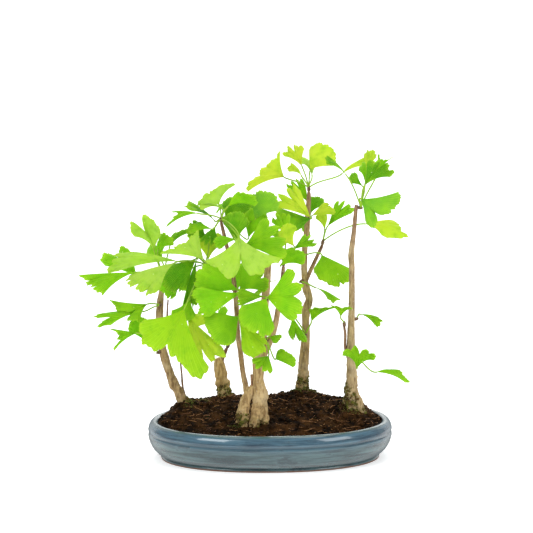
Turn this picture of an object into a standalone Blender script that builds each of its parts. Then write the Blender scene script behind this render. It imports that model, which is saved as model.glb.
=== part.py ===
"""A group of young ginkgo trees in an oval glazed pot. Metres, +Z up, -Y towards the viewer."""

import math
import random

import bmesh
import bpy
from mathutils import Vector, geometry, noise

MM = 0.001
OBJECT_NAME = "ginkgo_bonsai"
SEED = 7
TOUCH_GAP = 0.3 * MM

POT_HALF_LENGTH = 130 * MM
POT_HALF_DEPTH = 88 * MM
POT_SQUARENESS = 2.15
POT_SIDES = 36
FLOOR_THICKNESS = 6 * MM
POT_OUTSIDE = (
    (14.0, 0.0), (13.4, 2.0), (14.4, 3.2), (11.6, 5.2), (6.4, 10.0), (2.4, 16.5),
    (0.2, 24.5), (0.9, 28.3), (0.2, 31.0), (1.4, 35.6), (4.2, 39.2), (7.2, 40.4),
)
POT_INSIDE = ((9.8, 39.0), (10.8, 36.0), (11.0, 30.0), (12.4, 20.0), (17.0, 11.0), (24.0, 6.0))
DRAIN_RADIUS = 6 * MM
DRAIN_X = 55 * MM

SOIL_RINGS = 6
SOIL_EDGE = 36.5 * MM
SOIL_RISE = 20 * MM
SOIL_PEAK_Y = 25 * MM
SOIL_SLOPE = 105 * MM
SOIL_LUMP = 1.6 * MM
SOIL_MOUNDS = ((-90, 10, 5, 16), (36, 46, 8, 22), (82, -1, 5, 14), (-48, 40, 2, 16))
HOLE_CLEARANCE = 0.5 * MM

THICK_STEM = 2.5 * MM
TRUNK_ROUNDNESS = 2
TWIG_ROUNDNESS = 1
STALK_ROUNDNESS = 0
PEG_RADII = (1.4 * MM, 1.5 * MM, 1.7 * MM)
BUD_RADIUS = 2.3 * MM
BUD_CLEARANCE = 0.8 * MM
STALK_RADIUS = 0.8 * MM
STALK_SINK = 2 * MM
STALK_STEPS = 3
BLADE_THICKNESS = 0.7 * MM
FLAT_ANGLE = math.radians(2)
SMALL_LEAF = 30 * MM
BLADE_ROWS = 2
BLADE_TOOTH = 0.03
LOBE_ROUNDING = 1.7
BLADE_NECK = 0.68
BLADE_WAVE = 0.05

WOOD_COLOUR = (0.30, 0.22, 0.13, 1)
LEAF_TINTS = {
    "p": (0.42, 0.74, 0.12),
    "g": (0.20, 0.52, 0.02),
    "d": (0.06, 0.34, 0.01),
    "y": (0.48, 0.70, 0.04),
    "b": (0.10, 0.42, 0.05),
    "l": (0.36, 0.66, 0.03),
}
SOIL_COLOUR = (0.032, 0.016, 0.009, 1)
POT_COLOUR = (0.06, 0.15, 0.22, 1)

# Each tree: stems of (x, y, z, radius) in millimetres, from the foot up.
TREES = {
    "a": (
        ((-80, 10, 18, 7.5), (-85, 10, 40, 7.5), (-90, 10, 53, 6.5), (-96.5, 10, 66, 5.4),
         (-101.5, 9, 76, 5.0), (-106.5, 8, 90, 4.4), (-111.5, 7, 106, 4.6), (-115, 7, 122, 3.9),
         (-116, 6, 136, 3.8), (-116, 6, 152, 3.9), (-115, 6, 168, 3.4), (-113, 7, 182, 2.6)),
        ((-83, 15, 40, 1.6), (-92, 17, 66, 1.3), (-94, 18, 86, 1.0), (-95, 18, 98, 0.8)),
        ((-114, 7, 124, 1.6), (-109, 9, 140, 1.2), (-108, 10, 156, 0.9), (-107, 10, 168, 0.8)),
    ),
    "b": (
        ((-48, 38, 18, 8.6), (-48, 39, 48, 8.4), (-49, 40, 58, 7.8), (-50, 40, 68, 7.0),
         (-52, 40, 78, 6.6), (-54, 40, 88, 6.3), (-55, 40, 95, 5.0), (-56, 40, 98, 3.2)),
        ((-53, 40, 86, 3.0), (-51, 40, 97, 2.2), (-48, 39, 104, 2.0), (-46, 37, 109, 1.6)),
    ),
    "c": (
        ((-18, -47, 18, 3.6), (-18, -47, 38, 4.6), (-16, -47, 48, 5.6), (-13, -46, 58, 6.9),
         (-11, -46, 69, 7.5), (-10, -45, 79, 7.4), (-12, -45, 87, 6.4), (-12, -45, 101, 5.8),
         (-11, -45, 114, 6.3), (-9, -45, 128, 5.0), (-6, -45, 150, 4.6), (-5, -45, 170, 4.2),
         (-3, -45, 190, 4.0), (-1, -45, 210, 3.4), (1, -46, 222, 2.4)),
        ((-5, -42, 18, 4.0), (-5, -42, 40, 4.6), (-7, -43, 56, 5.2), (-10, -44, 70, 5.0)),
        ((-27, -48, 18, 2.8), (-27, -48, 42, 3.2), (-26, -48, 54, 4.0), (-27, -47, 64, 5.8),
         (-25, -47, 71, 5.4), (-21, -46, 79, 5.0), (-16, -45, 86, 3.6)),
        ((-35, -40, 18, 2.4), (-34, -42, 42, 3.0), (-30, -45, 58, 4.0), (-26, -46, 69, 4.0)),
        ((-10, -45, 112, 4.4), (-3, -44, 126, 3.6), (3, -43, 139, 3.2), (8, -41, 160, 2.8),
         (11, -39, 182, 2.4), (14, -37, 200, 2.1), (15, -36, 210, 1.7)),
        ((-22, -46, 74, 4.4), (-25, -44, 86, 3.0), (-28, -42, 100, 2.7), (-30, -40, 118, 2.6),
         (-33, -40, 140, 2.6), (-34, -40, 164, 2.6), (-35, -39, 182, 2.5), (-38, -38, 206, 2.2),
         (-43, -38, 230, 2.0), (-47, -38, 248, 1.8), (-49, -39, 257, 1.6)),
        ((-35, -39, 184, 1.8), (-44, -38, 196, 1.6), (-55, -38, 205, 1.4), (-62, -40, 210, 1.2)),
        ((-18, -47, 80, 1.6), (-19, -48, 90, 1.0), (-19, -49, 99, 1.3)),
    ),
    "e": (
        ((32, 45, 18, 8.6), (32, 45, 50, 8.2), (34, 45, 61, 7.0), (36, 45, 74, 5.9),
         (36.5, 45, 88, 5.6), (38, 45, 104, 5.2), (39, 45, 122, 4.6), (39, 45, 138, 3.9),
         (40, 45, 150, 4.6), (43, 45, 161, 4.0), (40, 45, 172, 4.4), (38, 45, 184, 3.3),
         (38, 45, 206, 3.2), (39, 45, 222, 3.0), (41, 45, 238, 3.0), (42, 45, 256, 2.8),
         (43, 45, 272, 2.2), (43, 45, 277, 1.6)),
        ((40, 45, 182, 2.4), (45, 45, 193, 2.2), (51, 45, 206, 2.0), (57, 45, 219, 1.8)),
    ),
    "f": (
        ((84, -5, 18, 8.6), (85, -5, 46, 8.4), (86, -5, 58, 7.8), (86, -5, 68, 7.0),
         (87, -5, 82, 6.2), (86, -5, 104, 4.8), (86, -5, 126, 4.2), (86.5, -5, 150, 3.6),
         (87, -5, 176, 3.2), (87, -5, 204, 3.0), (86.5, -5, 218, 3.2), (89, -5, 240, 2.4),
         (91, -5, 262, 2.0), (92, -5, 270, 1.8)),
        ((102, -13, 24, 2.6), (100, -12, 40, 3.2), (96, -9, 55, 3.6), (89, -6, 74, 3.4)),
        ((84, -5, 104, 2.0), (80, -5, 118, 1.6), (80, -5, 132, 1.4), (79, -5, 140, 1.2)),
    ),
}

# Each spur's bud in millimetres, and the tree that it grows on.
SPURS = {
    "a_top": ("a", -112, 8, 188),
    "a_mid": ("a", -115, 2, 164),
    "a_low": ("a", -116, 4, 113),
    "d_side": ("c", -65, -42, 214),
    "d_top": ("c", -49, -40, 261),
    "d_mid": ("c", -35, -46, 189),
    "d_low": ("c", -32, -44, 157),
    "c_mid": ("c", -3, -50, 179),
    "c_back": ("c", -4, -38, 178),
    "c_arm": ("c", 15, -36, 214),
    "c_low": ("c", -4, -50, 135),
    "b_top": ("b", -44, 36, 113),
    "e_top": ("e", 43, 45, 281),
    "e_high": ("e", 44, 41, 250),
    "e_back": ("e", 42, 50, 246),
    "e_arm": ("e", 58, 45, 224),
    "e_knob": ("e", 36, 41, 208),
    "e_mid": ("e", 34, 40, 181),
    "e_low": ("e", 39, 38, 124),
    "f_top": ("f", 96, -5, 267),
    "f_twig": ("f", 79, -5, 144),
    "f_mid": ("f", 91, -2, 148),
    "f_low": ("f", 89, -12, 110),
}

# Each outline: how far the cut edge reaches, at even turns from the left corner to the right one.
FORMS = {
    "arc": (0.84, 0.98, 1.02, 0.99, 0.95, 1.00, 1.03, 0.98, 0.84),
    "full": (0.86, 1.03, 1.13, 1.18, 1.18, 1.20, 1.14, 1.03, 0.84),
    "round": (0.62, 0.86, 1.00, 1.07, 1.08, 1.07, 1.00, 0.86, 0.62),
    "sharp": (0.97, 0.95, 0.97, 0.94, 0.93, 0.97, 0.96, 0.96, 1.00),
    "cleft": (0.84, 0.99, 1.06, 1.00, 0.70, 1.00, 1.06, 0.99, 0.84),
    "split": (0.80, 0.99, 1.07, 0.96, 0.36, 0.96, 1.07, 0.99, 0.80),
    "lobed": (0.90, 1.07, 0.92, 1.14, 0.76, 1.12, 0.96, 1.08, 0.86),
    "wing": (1.00, 0.90, 0.92, 1.00, 0.52, 0.90, 0.94, 0.90, 1.00),
    "fork": (1.00, 0.95, 0.64, 0.74, 0.62, 0.66, 0.70, 0.74, 1.00),
    "crest": (1.00, 0.86, 0.76, 0.72, 0.64, 0.70, 0.78, 0.88, 1.00),
    "hand": (0.96, 1.08, 0.88, 1.16, 0.84, 1.14, 1.24, 1.16, 0.86),
    "horn": (0.85, 1.13, 1.36, 0.62, 1.46, 1.32, 1.20, 1.05, 0.80),
    "tail": (0.92, 1.04, 1.03, 0.94, 0.68, 0.83, 0.86, 1.04, 0.90),
    "offset": (0.76, 1.00, 0.88, 0.60, 0.84, 0.95, 1.00, 1.00, 0.94),
    "spear": (0.86, 1.08, 1.20, 1.28, 1.36, 1.70, 1.30, 1.10, 0.86),
}

# Each leaf: its spur, then the blade's stalk end, left corner and right corner in millimetres, its
# outline, how far its middle arches up, and its tint.
LEAVES = (
    ("a_top", (-140, -10, 201), (-176, -22, 179), (-199, -2, 196), "sharp", 4, "g"),
    ("a_top", (-139, 6, 192), (-181, 0, 210), (-146, 12, 223), "split", 4, "g"),
    ("a_top", (-121, 4, 223), (-146, 8, 238), (-111, -4, 243), "horn", 4, "p"),
    ("a_top", (-117, 8, 221), (-115, 14, 239), (-98, 2, 228), "arc", 3, "g"),
    ("a_top", (-105, 20, 223), (-102, 28, 234), (-80, 16, 240), "sharp", 3, "d"),
    ("a_top", (-113, 26, 205), (-134, 50, 211), (-104, 46, 227), "cleft", 5, "g"),
    ("a_mid", (-128, -4, 166), (-136, -12, 148), (-168, 4, 169), "wing", 4, "g"),
    ("a_mid", (-133, -4, 158), (-174, -12, 141), (-185, 2, 156), "cleft", 4, "g"),
    ("a_low", (-139, -4, 135), (-164, -12, 118), (-169, 4, 138), "fork", 3, "g"),
    ("a_low", (-133, 6, 125), (-151, 2, 137), (-127, 8, 146), "full", 3, "g"),
    ("d_side", (-94, -50, 219), (-167, -62, 207), (-153, -40, 230), "arc", 5, "p"),
    ("d_side", (-97, -58, 219), (-152, -60, 205), (-114, -76, 188), "arc", 6, "p"),
    ("d_side", (-87, -36, 205), (-117, -34, 192), (-99, -38, 176), "arc", 4, "g"),
    ("d_side", (-75, -42, 221), (-112, -48, 213), (-89, -52, 180), "round", 5, "d"),
    ("d_side", (-74, -54, 222), (-93, -72, 163), (-68, -46, 185), "arc", 4, "d"),
    ("d_side", (-87, -80, 175), (-132, -86, 164), (-59, -94, 110), "tail", 7, "l"),
    ("d_side", (-85, -60, 164), (-87, -74, 128), (-44, -62, 126), "lobed", 5, "y"),
    ("d_side", (-67, -58, 222), (-112, -64, 229), (-72, -54, 253), "crest", 4, "p"),
    ("d_side", (-63, -34, 218), (-76, -24, 234), (-44, -30, 237), "full", 3, "y"),
    ("d_side", (-71, -22, 203), (-96, -2, 185), (-71, -4, 169), "cleft", 4, "g"),
    ("d_top", (-55, -45, 255), (-72, -47, 241), (-51, -43, 237), "lobed", 4, "d"),
    ("d_top", (-59, -47, 252), (-81, -42, 245), (-73, -34, 258), "full", 3, "g"),
    ("d_top", (-73, -44, 268), (-106, -58, 256), (-100, -32, 267), "fork", 3, "g"),
    ("d_top", (-56, -30, 258), (-85, -44, 271), (-79, -10, 273), "arc", 3, "d"),
    ("d_top", (-48, -34, 271), (-71, -44, 272), (-66, -24, 276), "arc", 3, "p"),
    ("d_top", (-51, -40, 276), (-74, -34, 274), (-33, -40, 297), "crest", 4, "p"),
    ("d_top", (-42, -52, 276), (-33, -60, 292), (-9, -52, 277), "arc", 4, "g"),
    ("d_top", (-14, -42, 261), (-20, -38, 285), (13, -46, 272), "full", 4, "b"),
    ("d_top", (-45, -27, 256), (-49, -16, 275), (-14, -26, 262), "full", 4, "d"),
    ("d_top", (-25, -18, 255), (-35, -12, 270), (-6, -12, 259), "arc", 4, "d"),
    ("d_top", (-30, -76, 248), (-66, -82, 225), (13, -82, 227), "wing", 6, "p"),
    ("d_top", (-33, -58, 243), (-51, -60, 232), (-51, -54, 247), "full", 3, "g"),
    ("d_top", (-25, -56, 236), (-8, -58, 264), (15, -66, 221), "lobed", 4, "g"),
    ("d_top", (-33, -46, 239), (-49, -40, 259), (-18, -46, 260), "full", 4, "d"),
    ("d_top", (-21, -38, 241), (-26, -32, 266), (1, -42, 259), "full", 4, "g"),
    ("d_side", (-64, -34, 238), (-84, -32, 239), (-69, -22, 257), "full", 3, "d"),
    ("d_side", (-82, -64, 182), (-104, -70, 169), (-75, -64, 163), "arc", 3, "g"),
    ("d_top", (-39, -16, 263), (-58, 14, 260), (-31, 10, 274), "cleft", 5, "g"),
    ("c_arm", (18, -34, 239), (2, -38, 259), (23, -28, 262), "lobed", 3, "g"),
    ("c_arm", (26, -50, 234), (9, -58, 240), (29, -50, 256), "full", 3, "y"),
    ("c_arm", (25, -28, 227), (36, -24, 242), (49, -28, 230), "lobed", 3, "g"),
    ("c_arm", (12, -46, 213), (16, -52, 231), (38, -50, 215), "full", 3, "g"),
    ("c_arm", (8, -30, 227), (-7, -34, 230), (-1, -30, 246), "arc", 3, "d"),
    ("c_arm", (14, -10, 226), (-1, 6, 240), (24, 8, 242), "cleft", 4, "g"),
    ("c_mid", (-2, -70, 184), (20, -76, 217), (19, -84, 162), "hand", 6, "g"),
    ("c_mid", (-3, -74, 184), (-33, -86, 177), (7, -92, 151), "full", 5, "g"),
    ("c_mid", (-6, -62, 184), (-32, -74, 175), (-31, -70, 195), "arc", 3, "g"),
    ("c_back", (-7, -34, 185), (-20, -14, 167), (9, -12, 194), "cleft", 4, "g"),
    ("c_back", (-14, -30, 197), (-37, -14, 180), (-37, -8, 211), "full", 4, "g"),
    ("c_low", (-1, -60, 121), (-19, -66, 119), (4, -70, 106), "lobed", 3, "g"),
    ("c_low", (6, -54, 116), (8, -54, 126), (28, -60, 107), "arc", 4, "g"),
    ("c_low", (-1, -46, 138), (5, -50, 131), (13, -44, 141), "arc", 2, "g"),
    ("d_mid", (-32, -58, 190), (-72, -66, 186), (-56, -60, 221), "full", 4, "g"),
    ("d_mid", (-29, -64, 188), (-66, -76, 162), (-78, -74, 198), "arc", 4, "g"),
    ("d_mid", (-31, -50, 188), (-33, -50, 218), (0, -54, 186), "arc", 4, "g"),
    ("d_low", (-31, -64, 159), (-28, -78, 127), (-1, -76, 141), "full", 5, "l"),
    ("d_low", (-32, -58, 162), (-65, -66, 171), (-36, -72, 135), "full", 5, "g"),
    ("b_top", (-60, 16, 140), (-82, 8, 137), (-73, 18, 152), "full", 3, "y"),
    ("b_top", (-49, 30, 129), (-66, 40, 141), (-43, 44, 153), "cleft", 4, "g"),
    ("e_top", (17, 38, 294), (-23, 34, 278), (13, 44, 321), "fork", 5, "y"),
    ("e_top", (36, 60, 303), (15, 66, 314), (39, 70, 322), "lobed", 3, "y"),
    ("e_top", (45, 46, 301), (43, 48, 325), (74, 36, 307), "full", 5, "y"),
    ("e_top", (35, 34, 296), (19, 26, 302), (26, 36, 310), "arc", 3, "y"),
    ("e_top", (78, 46, 296), (100, 54, 312), (116, 42, 306), "arc", 4, "y"),
    ("e_top", (47, 70, 292), (31, 96, 302), (64, 94, 305), "split", 5, "p"),
    ("e_high", (44, 22, 253), (7, 12, 266), (32, 20, 287), "lobed", 5, "y"),
    ("e_high", (45, 32, 250), (7, 26, 265), (32, 22, 239), "full", 4, "d"),
    ("e_high", (46, 34, 253), (59, 34, 268), (72, 28, 255), "arc", 3, "y"),
    ("e_back", (43, 50, 264), (19, 48, 282), (38, 54, 288), "lobed", 3, "g"),
    ("e_back", (45, 56, 252), (40, 64, 264), (62, 58, 261), "full", 3, "d"),
    ("e_back", (39, 62, 241), (22, 84, 233), (47, 86, 222), "cleft", 4, "g"),
    ("e_arm", (63, 45, 240), (71, 46, 266), (92, 42, 256), "lobed", 4, "g"),
    ("e_arm", (60, 54, 235), (49, 56, 248), (64, 60, 249), "full", 3, "y"),
    ("e_arm", (103, 40, 243), (134, 46, 247), (123, 32, 229), "spear", 4, "y"),
    ("e_knob", (56, 22, 213), (46, 12, 198), (93, 16, 195), "full", 6, "g"),
    ("e_mid", (49, 32, 176), (64, 22, 162), (76, 44, 162), "arc", 2, "g"),
    ("e_low", (45, 30, 139), (42, 24, 154), (76, 30, 154), "crest", 4, "g"),
    ("e_low", (24, 28, 146), (19, 20, 127), (43, 22, 120), "cleft", 3, "g"),
    ("f_top", (100, -16, 292), (102, -24, 318), (131, -20, 303), "lobed", 4, "d"),
    ("f_top", (99, 6, 288), (86, 12, 291), (93, 14, 302), "full", 2, "d"),
    ("f_top", (114, 0, 303), (115, 8, 322), (131, 2, 320), "fork", 2, "g"),
    ("f_top", (104, 14, 303), (100, 20, 320), (115, 16, 319), "full", 2, "y"),
    ("f_top", (81, -16, 303), (58, -26, 319), (63, -6, 320), "arc", 2, "d"),
    ("f_top", (96, -22, 279), (102, -30, 249), (137, -30, 288), "offset", 5, "b"),
    ("f_top", (102, 16, 290), (94, 30, 305), (123, 28, 306), "split", 4, "g"),
    ("f_twig", (75, -12, 152), (64, -20, 165), (88, -17, 162), "crest", 3, "g"),
    ("f_mid", (96, 4, 152), (114, 12, 136), (119, -4, 149), "arc", 2, "g"),
    ("f_low", (92, -24, 100), (75, -30, 116), (112, -32, 110), "lobed", 4, "g"),
    ("f_low", (113, 0, 90), (149, -8, 77), (132, 10, 91), "arc", 3, "g"),
)


def clear_scene():
    for thing in list(bpy.data.objects):
        bpy.data.objects.remove(thing)


def new_collection(name):
    group = bpy.data.collections.new(name)
    bpy.context.scene.collection.children.link(group)
    return group


def new_material(name, colour, roughness):
    material = bpy.data.materials.new(name)
    material.use_nodes = True
    shader = material.node_tree.nodes["Principled BSDF"]
    shader.inputs["Base Color"].default_value = colour
    shader.inputs["Roughness"].default_value = roughness
    shader.inputs["Metallic"].default_value = 0
    return material


def add_object(name, mesh, group):
    thing = bpy.data.objects.new(name, mesh)
    group.objects.link(thing)
    return thing


def as_mesh_object(source, group):
    """The source's evaluated shape as a plain mesh object, welded, in place of the source."""
    bpy.context.view_layer.update()
    graph = bpy.context.evaluated_depsgraph_get()
    mesh = bpy.data.meshes.new_from_object(source.evaluated_get(graph))
    mesh.transform(source.matrix_world)
    shape = bmesh.new()
    shape.from_mesh(mesh)
    bmesh.ops.remove_doubles(shape, verts=shape.verts, dist=0.00001)
    bmesh.ops.recalc_face_normals(shape, faces=shape.faces)
    bmesh.ops.triangulate(shape, faces=shape.faces)
    shape.to_mesh(mesh)
    shape.free()
    name = source.name
    bpy.data.objects.remove(source)
    return add_object(name, mesh, group)


def tube(name, points, radii, roundness, group):
    """A round stem along the points, with a radius at each."""
    curve = bpy.data.curves.new(name, "CURVE")
    curve.dimensions = "3D"
    curve.bevel_depth = MM
    curve.bevel_resolution = roundness
    curve.use_fill_caps = True
    line = curve.splines.new("POLY")
    line.points.add(len(points) - 1)
    for place, point, radius in zip(line.points, points, radii):
        place.co = (*point, 1)
        place.radius = radius / MM
    source = bpy.data.objects.new(name, curve)
    group.objects.link(source)
    return as_mesh_object(source, group)


def keep_largest_body(mesh):
    """Drops loose scraps and the walls of sealed hollows."""
    shape = bmesh.new()
    shape.from_mesh(mesh)
    bmesh.ops.remove_doubles(shape, verts=shape.verts, dist=0.00001)
    left, bodies = set(shape.faces), []
    while left:
        seed_face = left.pop()
        body, queue = [seed_face], [seed_face]
        while queue:
            for edge in queue.pop().edges:
                for face in edge.link_faces:
                    if face in left:
                        left.discard(face)
                        body.append(face)
                        queue.append(face)
        bodies.append(body)
    bodies.sort(key=len)
    spare = [face for body in bodies[:-1] for face in body]
    bmesh.ops.delete(shape, geom=spare, context="FACES")
    bmesh.ops.dissolve_limit(
        shape, angle_limit=FLAT_ANGLE, verts=shape.verts, edges=shape.edges, use_dissolve_boundaries=False
    )
    bmesh.ops.triangulate(shape, faces=shape.faces)
    shape.to_mesh(mesh)
    shape.free()


def fuse(name, pieces, group, material):
    """One closed body made of all the pieces."""
    repeats = new_collection(name + "_repeats")
    for piece in pieces[1:]:
        repeats.objects.link(piece)
    join = pieces[0].modifiers.new("Join", "BOOLEAN")
    join.operation = "UNION"
    join.operand_type = "COLLECTION"
    join.collection = repeats
    join.solver = "MANIFOLD"
    pieces[0].name = name
    body = as_mesh_object(pieces[0], group)
    for piece in pieces[1:]:
        bpy.data.objects.remove(piece)
    bpy.data.collections.remove(repeats)
    keep_largest_body(body.data)
    body.data.name = name
    body.data.materials.clear()
    body.data.materials.append(material)
    return body


def oval_ring(inset, height, sides=POT_SIDES):
    """Points of the pot's oval, set in from its widest outline, at a height."""
    ring = []
    power = 2 / POT_SQUARENESS
    for step in range(sides):
        turn = 2 * math.pi * step / sides
        across, away = math.cos(turn), math.sin(turn)
        x = (POT_HALF_LENGTH - inset) * math.copysign(abs(across) ** power, across)
        y = (POT_HALF_DEPTH - inset) * math.copysign(abs(away) ** power, away)
        ring.append(Vector((x, y, height)))
    return ring


def loft(name, rings, group):
    """A closed skin over rings of equal length, with a fan on its first and last ring."""
    shape = bmesh.new()
    rows = [[shape.verts.new(point) for point in ring] for ring in rings]
    count = len(rings[0])
    for low, high in zip(rows, rows[1:]):
        for step in range(count):
            after = (step + 1) % count
            shape.faces.new((low[step], low[after], high[after], high[step]))
    for row in (rows[0], rows[-1]):
        centre = shape.verts.new(sum((vert.co for vert in row), Vector()) / count)
        for step in range(count):
            shape.faces.new((row[step], row[(step + 1) % count], centre))
    bmesh.ops.recalc_face_normals(shape, faces=shape.faces)
    mesh = bpy.data.meshes.new(name)
    shape.to_mesh(mesh)
    shape.free()
    return add_object(name, mesh, group)


def cut(body, cutter):
    hole = body.modifiers.new(cutter.name, "BOOLEAN")
    hole.operation = "DIFFERENCE"
    hole.object = cutter
    hole.solver = "MANIFOLD"
    cutter.hide_render = True
    cutter.display_type = "WIRE"


def make_pot(parts, cutters):
    rings = [oval_ring(inset * MM, height * MM) for inset, height in POT_OUTSIDE + POT_INSIDE]
    pot = loft("pot", rings, parts)
    for side in (-1, 1):
        bpy.ops.mesh.primitive_cylinder_add(
            vertices=16, radius=DRAIN_RADIUS, depth=4 * FLOOR_THICKNESS, location=(side * DRAIN_X, 0, 0)
        )
        drill = bpy.context.object
        drill.name = f"drain_cutter_{side}"
        for group in list(drill.users_collection):
            group.objects.unlink(drill)
        cutters.objects.link(drill)
        cut(pot, drill)
    pot.data.materials.append(new_material("pot_glaze", POT_COLOUR, 0.2))
    pot.data.shade_smooth()
    pot.data.set_sharp_from_angle(angle=math.radians(50))
    return pot


def soil_height(x, y):
    """The mound's height: low along the front rim, highest behind the middle, with lumps."""
    reach_x, reach_y = POT_HALF_LENGTH - 11 * MM, POT_HALF_DEPTH - 11 * MM
    out = (abs(x) / reach_x) ** 2 + (abs(y) / reach_y) ** 2
    edge = max(0.0, 1 - out**4)
    slope = max(0.0, 1 - ((y - SOIL_PEAK_Y) / SOIL_SLOPE) ** 2) ** 1.6
    height = SOIL_EDGE + SOIL_RISE * slope * edge
    for mound_x, mound_y, rise, wide in SOIL_MOUNDS:
        away = ((x - mound_x * MM) ** 2 + (y - mound_y * MM) ** 2) / (wide * MM) ** 2
        height += rise * MM * math.exp(-away) * edge
    lump = noise.noise(Vector((x, y, 0)) / (11 * MM)) + 0.6 * noise.noise(Vector((x, y, 3)) / (5 * MM))
    return height + SOIL_LUMP * lump * (0.4 + 0.6 * edge)


def make_soil(parts, cutters, holes):
    """A mound with the pot's inside as its underside, and a plain hole for each stem in it."""
    gap = TOUCH_GAP / MM
    under = [(inset + gap, height + gap) for inset, height in reversed(POT_INSIDE[1:])]
    rings = [oval_ring(inset * MM, height * MM) for inset, height in under]
    rim = rings[-1]
    for ring in range(SOIL_RINGS):
        share = 1 - ring / SOIL_RINGS
        row = []
        for point in rim:
            x, y = point.x * share, point.y * share
            row.append(Vector((x, y, soil_height(x, y))))
        rings.append(row)
    soil = loft("soil", rings, parts)
    soil.data.materials.append(new_material("soil_peat", SOIL_COLOUR, 0.95))
    for hole in holes:
        cutters.objects.link(hole)
        cut(soil, hole)
    soil.data.shade_smooth()
    return soil


def stem_parts(stem):
    points = [Vector(row[:3]) * MM for row in stem]
    radii = [row[3] * MM for row in stem]
    return points, radii


def nearest_on_tree(tree, place):
    """The nearest point on a tree's stems, and the stem's radius there."""
    best = None
    for stem in TREES[tree]:
        points, radii = stem_parts(stem)
        for low, high, wide, narrow in zip(points, points[1:], radii, radii[1:]):
            point, share = geometry.intersect_point_line(place, low, high)
            share = min(1.0, max(0.0, share))
            point = low.lerp(high, share)
            found = ((place - point).length, point, wide + (narrow - wide) * share)
            if best is None or found[0] < best[0]:
                best = found
    return best[1], best[2]


def spur_parts(name):
    """Where a spur leaves its stem, and the centre of its bud, clear of the stem."""
    tree, *place = SPURS[name]
    place = Vector(place) * MM
    root, radius = nearest_on_tree(tree, place)
    way = place - root
    if way.length < 0.5 * MM:
        way = Vector((0, 0, 1))
    reach = max((place - root).length, radius + BUD_RADIUS + BUD_CLEARANCE)
    return root, root + way.normalized() * reach


def make_tree(tree, parts):
    """A tree's wood: its stems, and a short peg out to each spur's bud."""
    pieces = []
    for index, stem in enumerate(TREES[tree]):
        points, radii = stem_parts(stem)
        roundness = TRUNK_ROUNDNESS if max(radii) > THICK_STEM else TWIG_ROUNDNESS
        pieces.append(tube(f"{tree}_{index}", points, radii, roundness, parts))
    for name, (owner, *_place) in SPURS.items():
        if owner != tree:
            continue
        root, bud = spur_parts(name)
        way = (bud - root).normalized()
        tip = bud - way * (BUD_RADIUS + TOUCH_GAP)
        middle = root.lerp(tip, 0.6)
        pieces.append(tube("peg", (root, middle, tip), PEG_RADII, TWIG_ROUNDNESS, parts))
    material = new_material(f"bark_{tree}", WOOD_COLOUR, 0.8)
    wood = fuse(f"wood_{tree}", pieces, parts, material)
    wood.data.shade_smooth()
    return wood


def make_holes(tree, cutters):
    """Plain holes for the stems that stand in the soil, a little wider than the wood."""
    holes = []
    for index, stem in enumerate(TREES[tree]):
        points, radii = stem_parts(stem)
        if points[0].z > SOIL_EDGE + 6 * MM:
            continue
        points[0] = points[0] - Vector((0, 0, HOLE_CLEARANCE))
        radii = [radius * 1.03 + HOLE_CLEARANCE for radius in radii]
        holes.append(tube(f"hole_{tree}_{index}", points, radii, TRUNK_ROUNDNESS, cutters))
    return holes


def outline_reach(form, share):
    """How far an outline reaches at a share of its turn: round lobes with narrow cuts between."""
    place = share * (len(form) - 1)
    step = min(int(place), len(form) - 2)
    here, after, t = form[step], form[step + 1], place - step
    ease = 1 - (1 - t) ** LOBE_ROUNDING if here < after else t**LOBE_ROUNDING
    return here + (after - here) * ease


def blade_surface(apex, left, right, form, arch, draw):
    """Rows of points from the stalk's end out to the cut edge, each from left to right."""
    to_left, to_right = left - apex, right - apex
    spread = to_left.angle(to_right)
    normal = to_left.cross(to_right).normalized()
    if normal.z < 0:
        normal.negate()
    reach = (to_left.length + to_right.length) / 2
    columns = 6 if reach < SMALL_LEAF else 8
    tooth = [draw.uniform(-1, 1) * BLADE_TOOTH for _ in range(columns + 1)]
    turn = draw.uniform(0, 2 * math.pi)
    rows = []
    for row in range(1, BLADE_ROWS + 1):
        out = row / BLADE_ROWS
        line = []
        for column in range(columns + 1):
            share = column / columns
            side = 2 * share - 1
            turned = 0.5 + side / 2 * (BLADE_NECK + (1 - BLADE_NECK) * out)
            way = (
                to_left.normalized() * math.sin((1 - turned) * spread)
                + to_right.normalized() * math.sin(turned * spread)
            ) / math.sin(spread)
            length = to_left.length * (1 - share) + to_right.length * share
            edge = outline_reach(form, share) * (1 + tooth[column])
            lift = arch * (4 * out * (1 - out) + 0.5 * out * (1 - side * side))
            lift += BLADE_WAVE * reach * out * out * math.sin(5 * side + turn)
            line.append(apex + way * length * edge * out + normal * lift)
        rows.append(line)
    return rows


def make_blade(name, apex, rows, group):
    """A fan of triangles, thickened on both sides alike."""
    shape = bmesh.new()
    tip = shape.verts.new(apex)
    grid = [[shape.verts.new(point) for point in row] for row in rows]
    for left, right in zip(grid[0], grid[0][1:]):
        shape.faces.new((tip, left, right))
    for low, high in zip(grid, grid[1:]):
        for column in range(len(low) - 1):
            shape.faces.new((low[column], high[column], high[column + 1]))
            shape.faces.new((low[column], high[column + 1], low[column + 1]))
    mesh = bpy.data.meshes.new(name)
    shape.to_mesh(mesh)
    shape.free()
    blade = add_object(name, mesh, group)
    skin = blade.modifiers.new("Thickness", "SOLIDIFY")
    skin.thickness = BLADE_THICKNESS
    skin.offset = 0
    return as_mesh_object(blade, group)


def stalk_points(bud, apex, rows):
    """A stalk that leaves the bud, bows upwards and runs on into the blade."""
    middle = rows[0][len(rows[0]) // 2] - apex
    reach = (apex - bud).length
    start = bud + (apex - bud) * 0.35 + Vector((0, 0, 0.12 * reach))
    end = apex - middle.normalized() * 0.25 * reach
    points = geometry.interpolate_bezier(bud, start, end, apex, STALK_STEPS)
    return list(points) + [apex + middle.normalized() * STALK_SINK]


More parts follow.
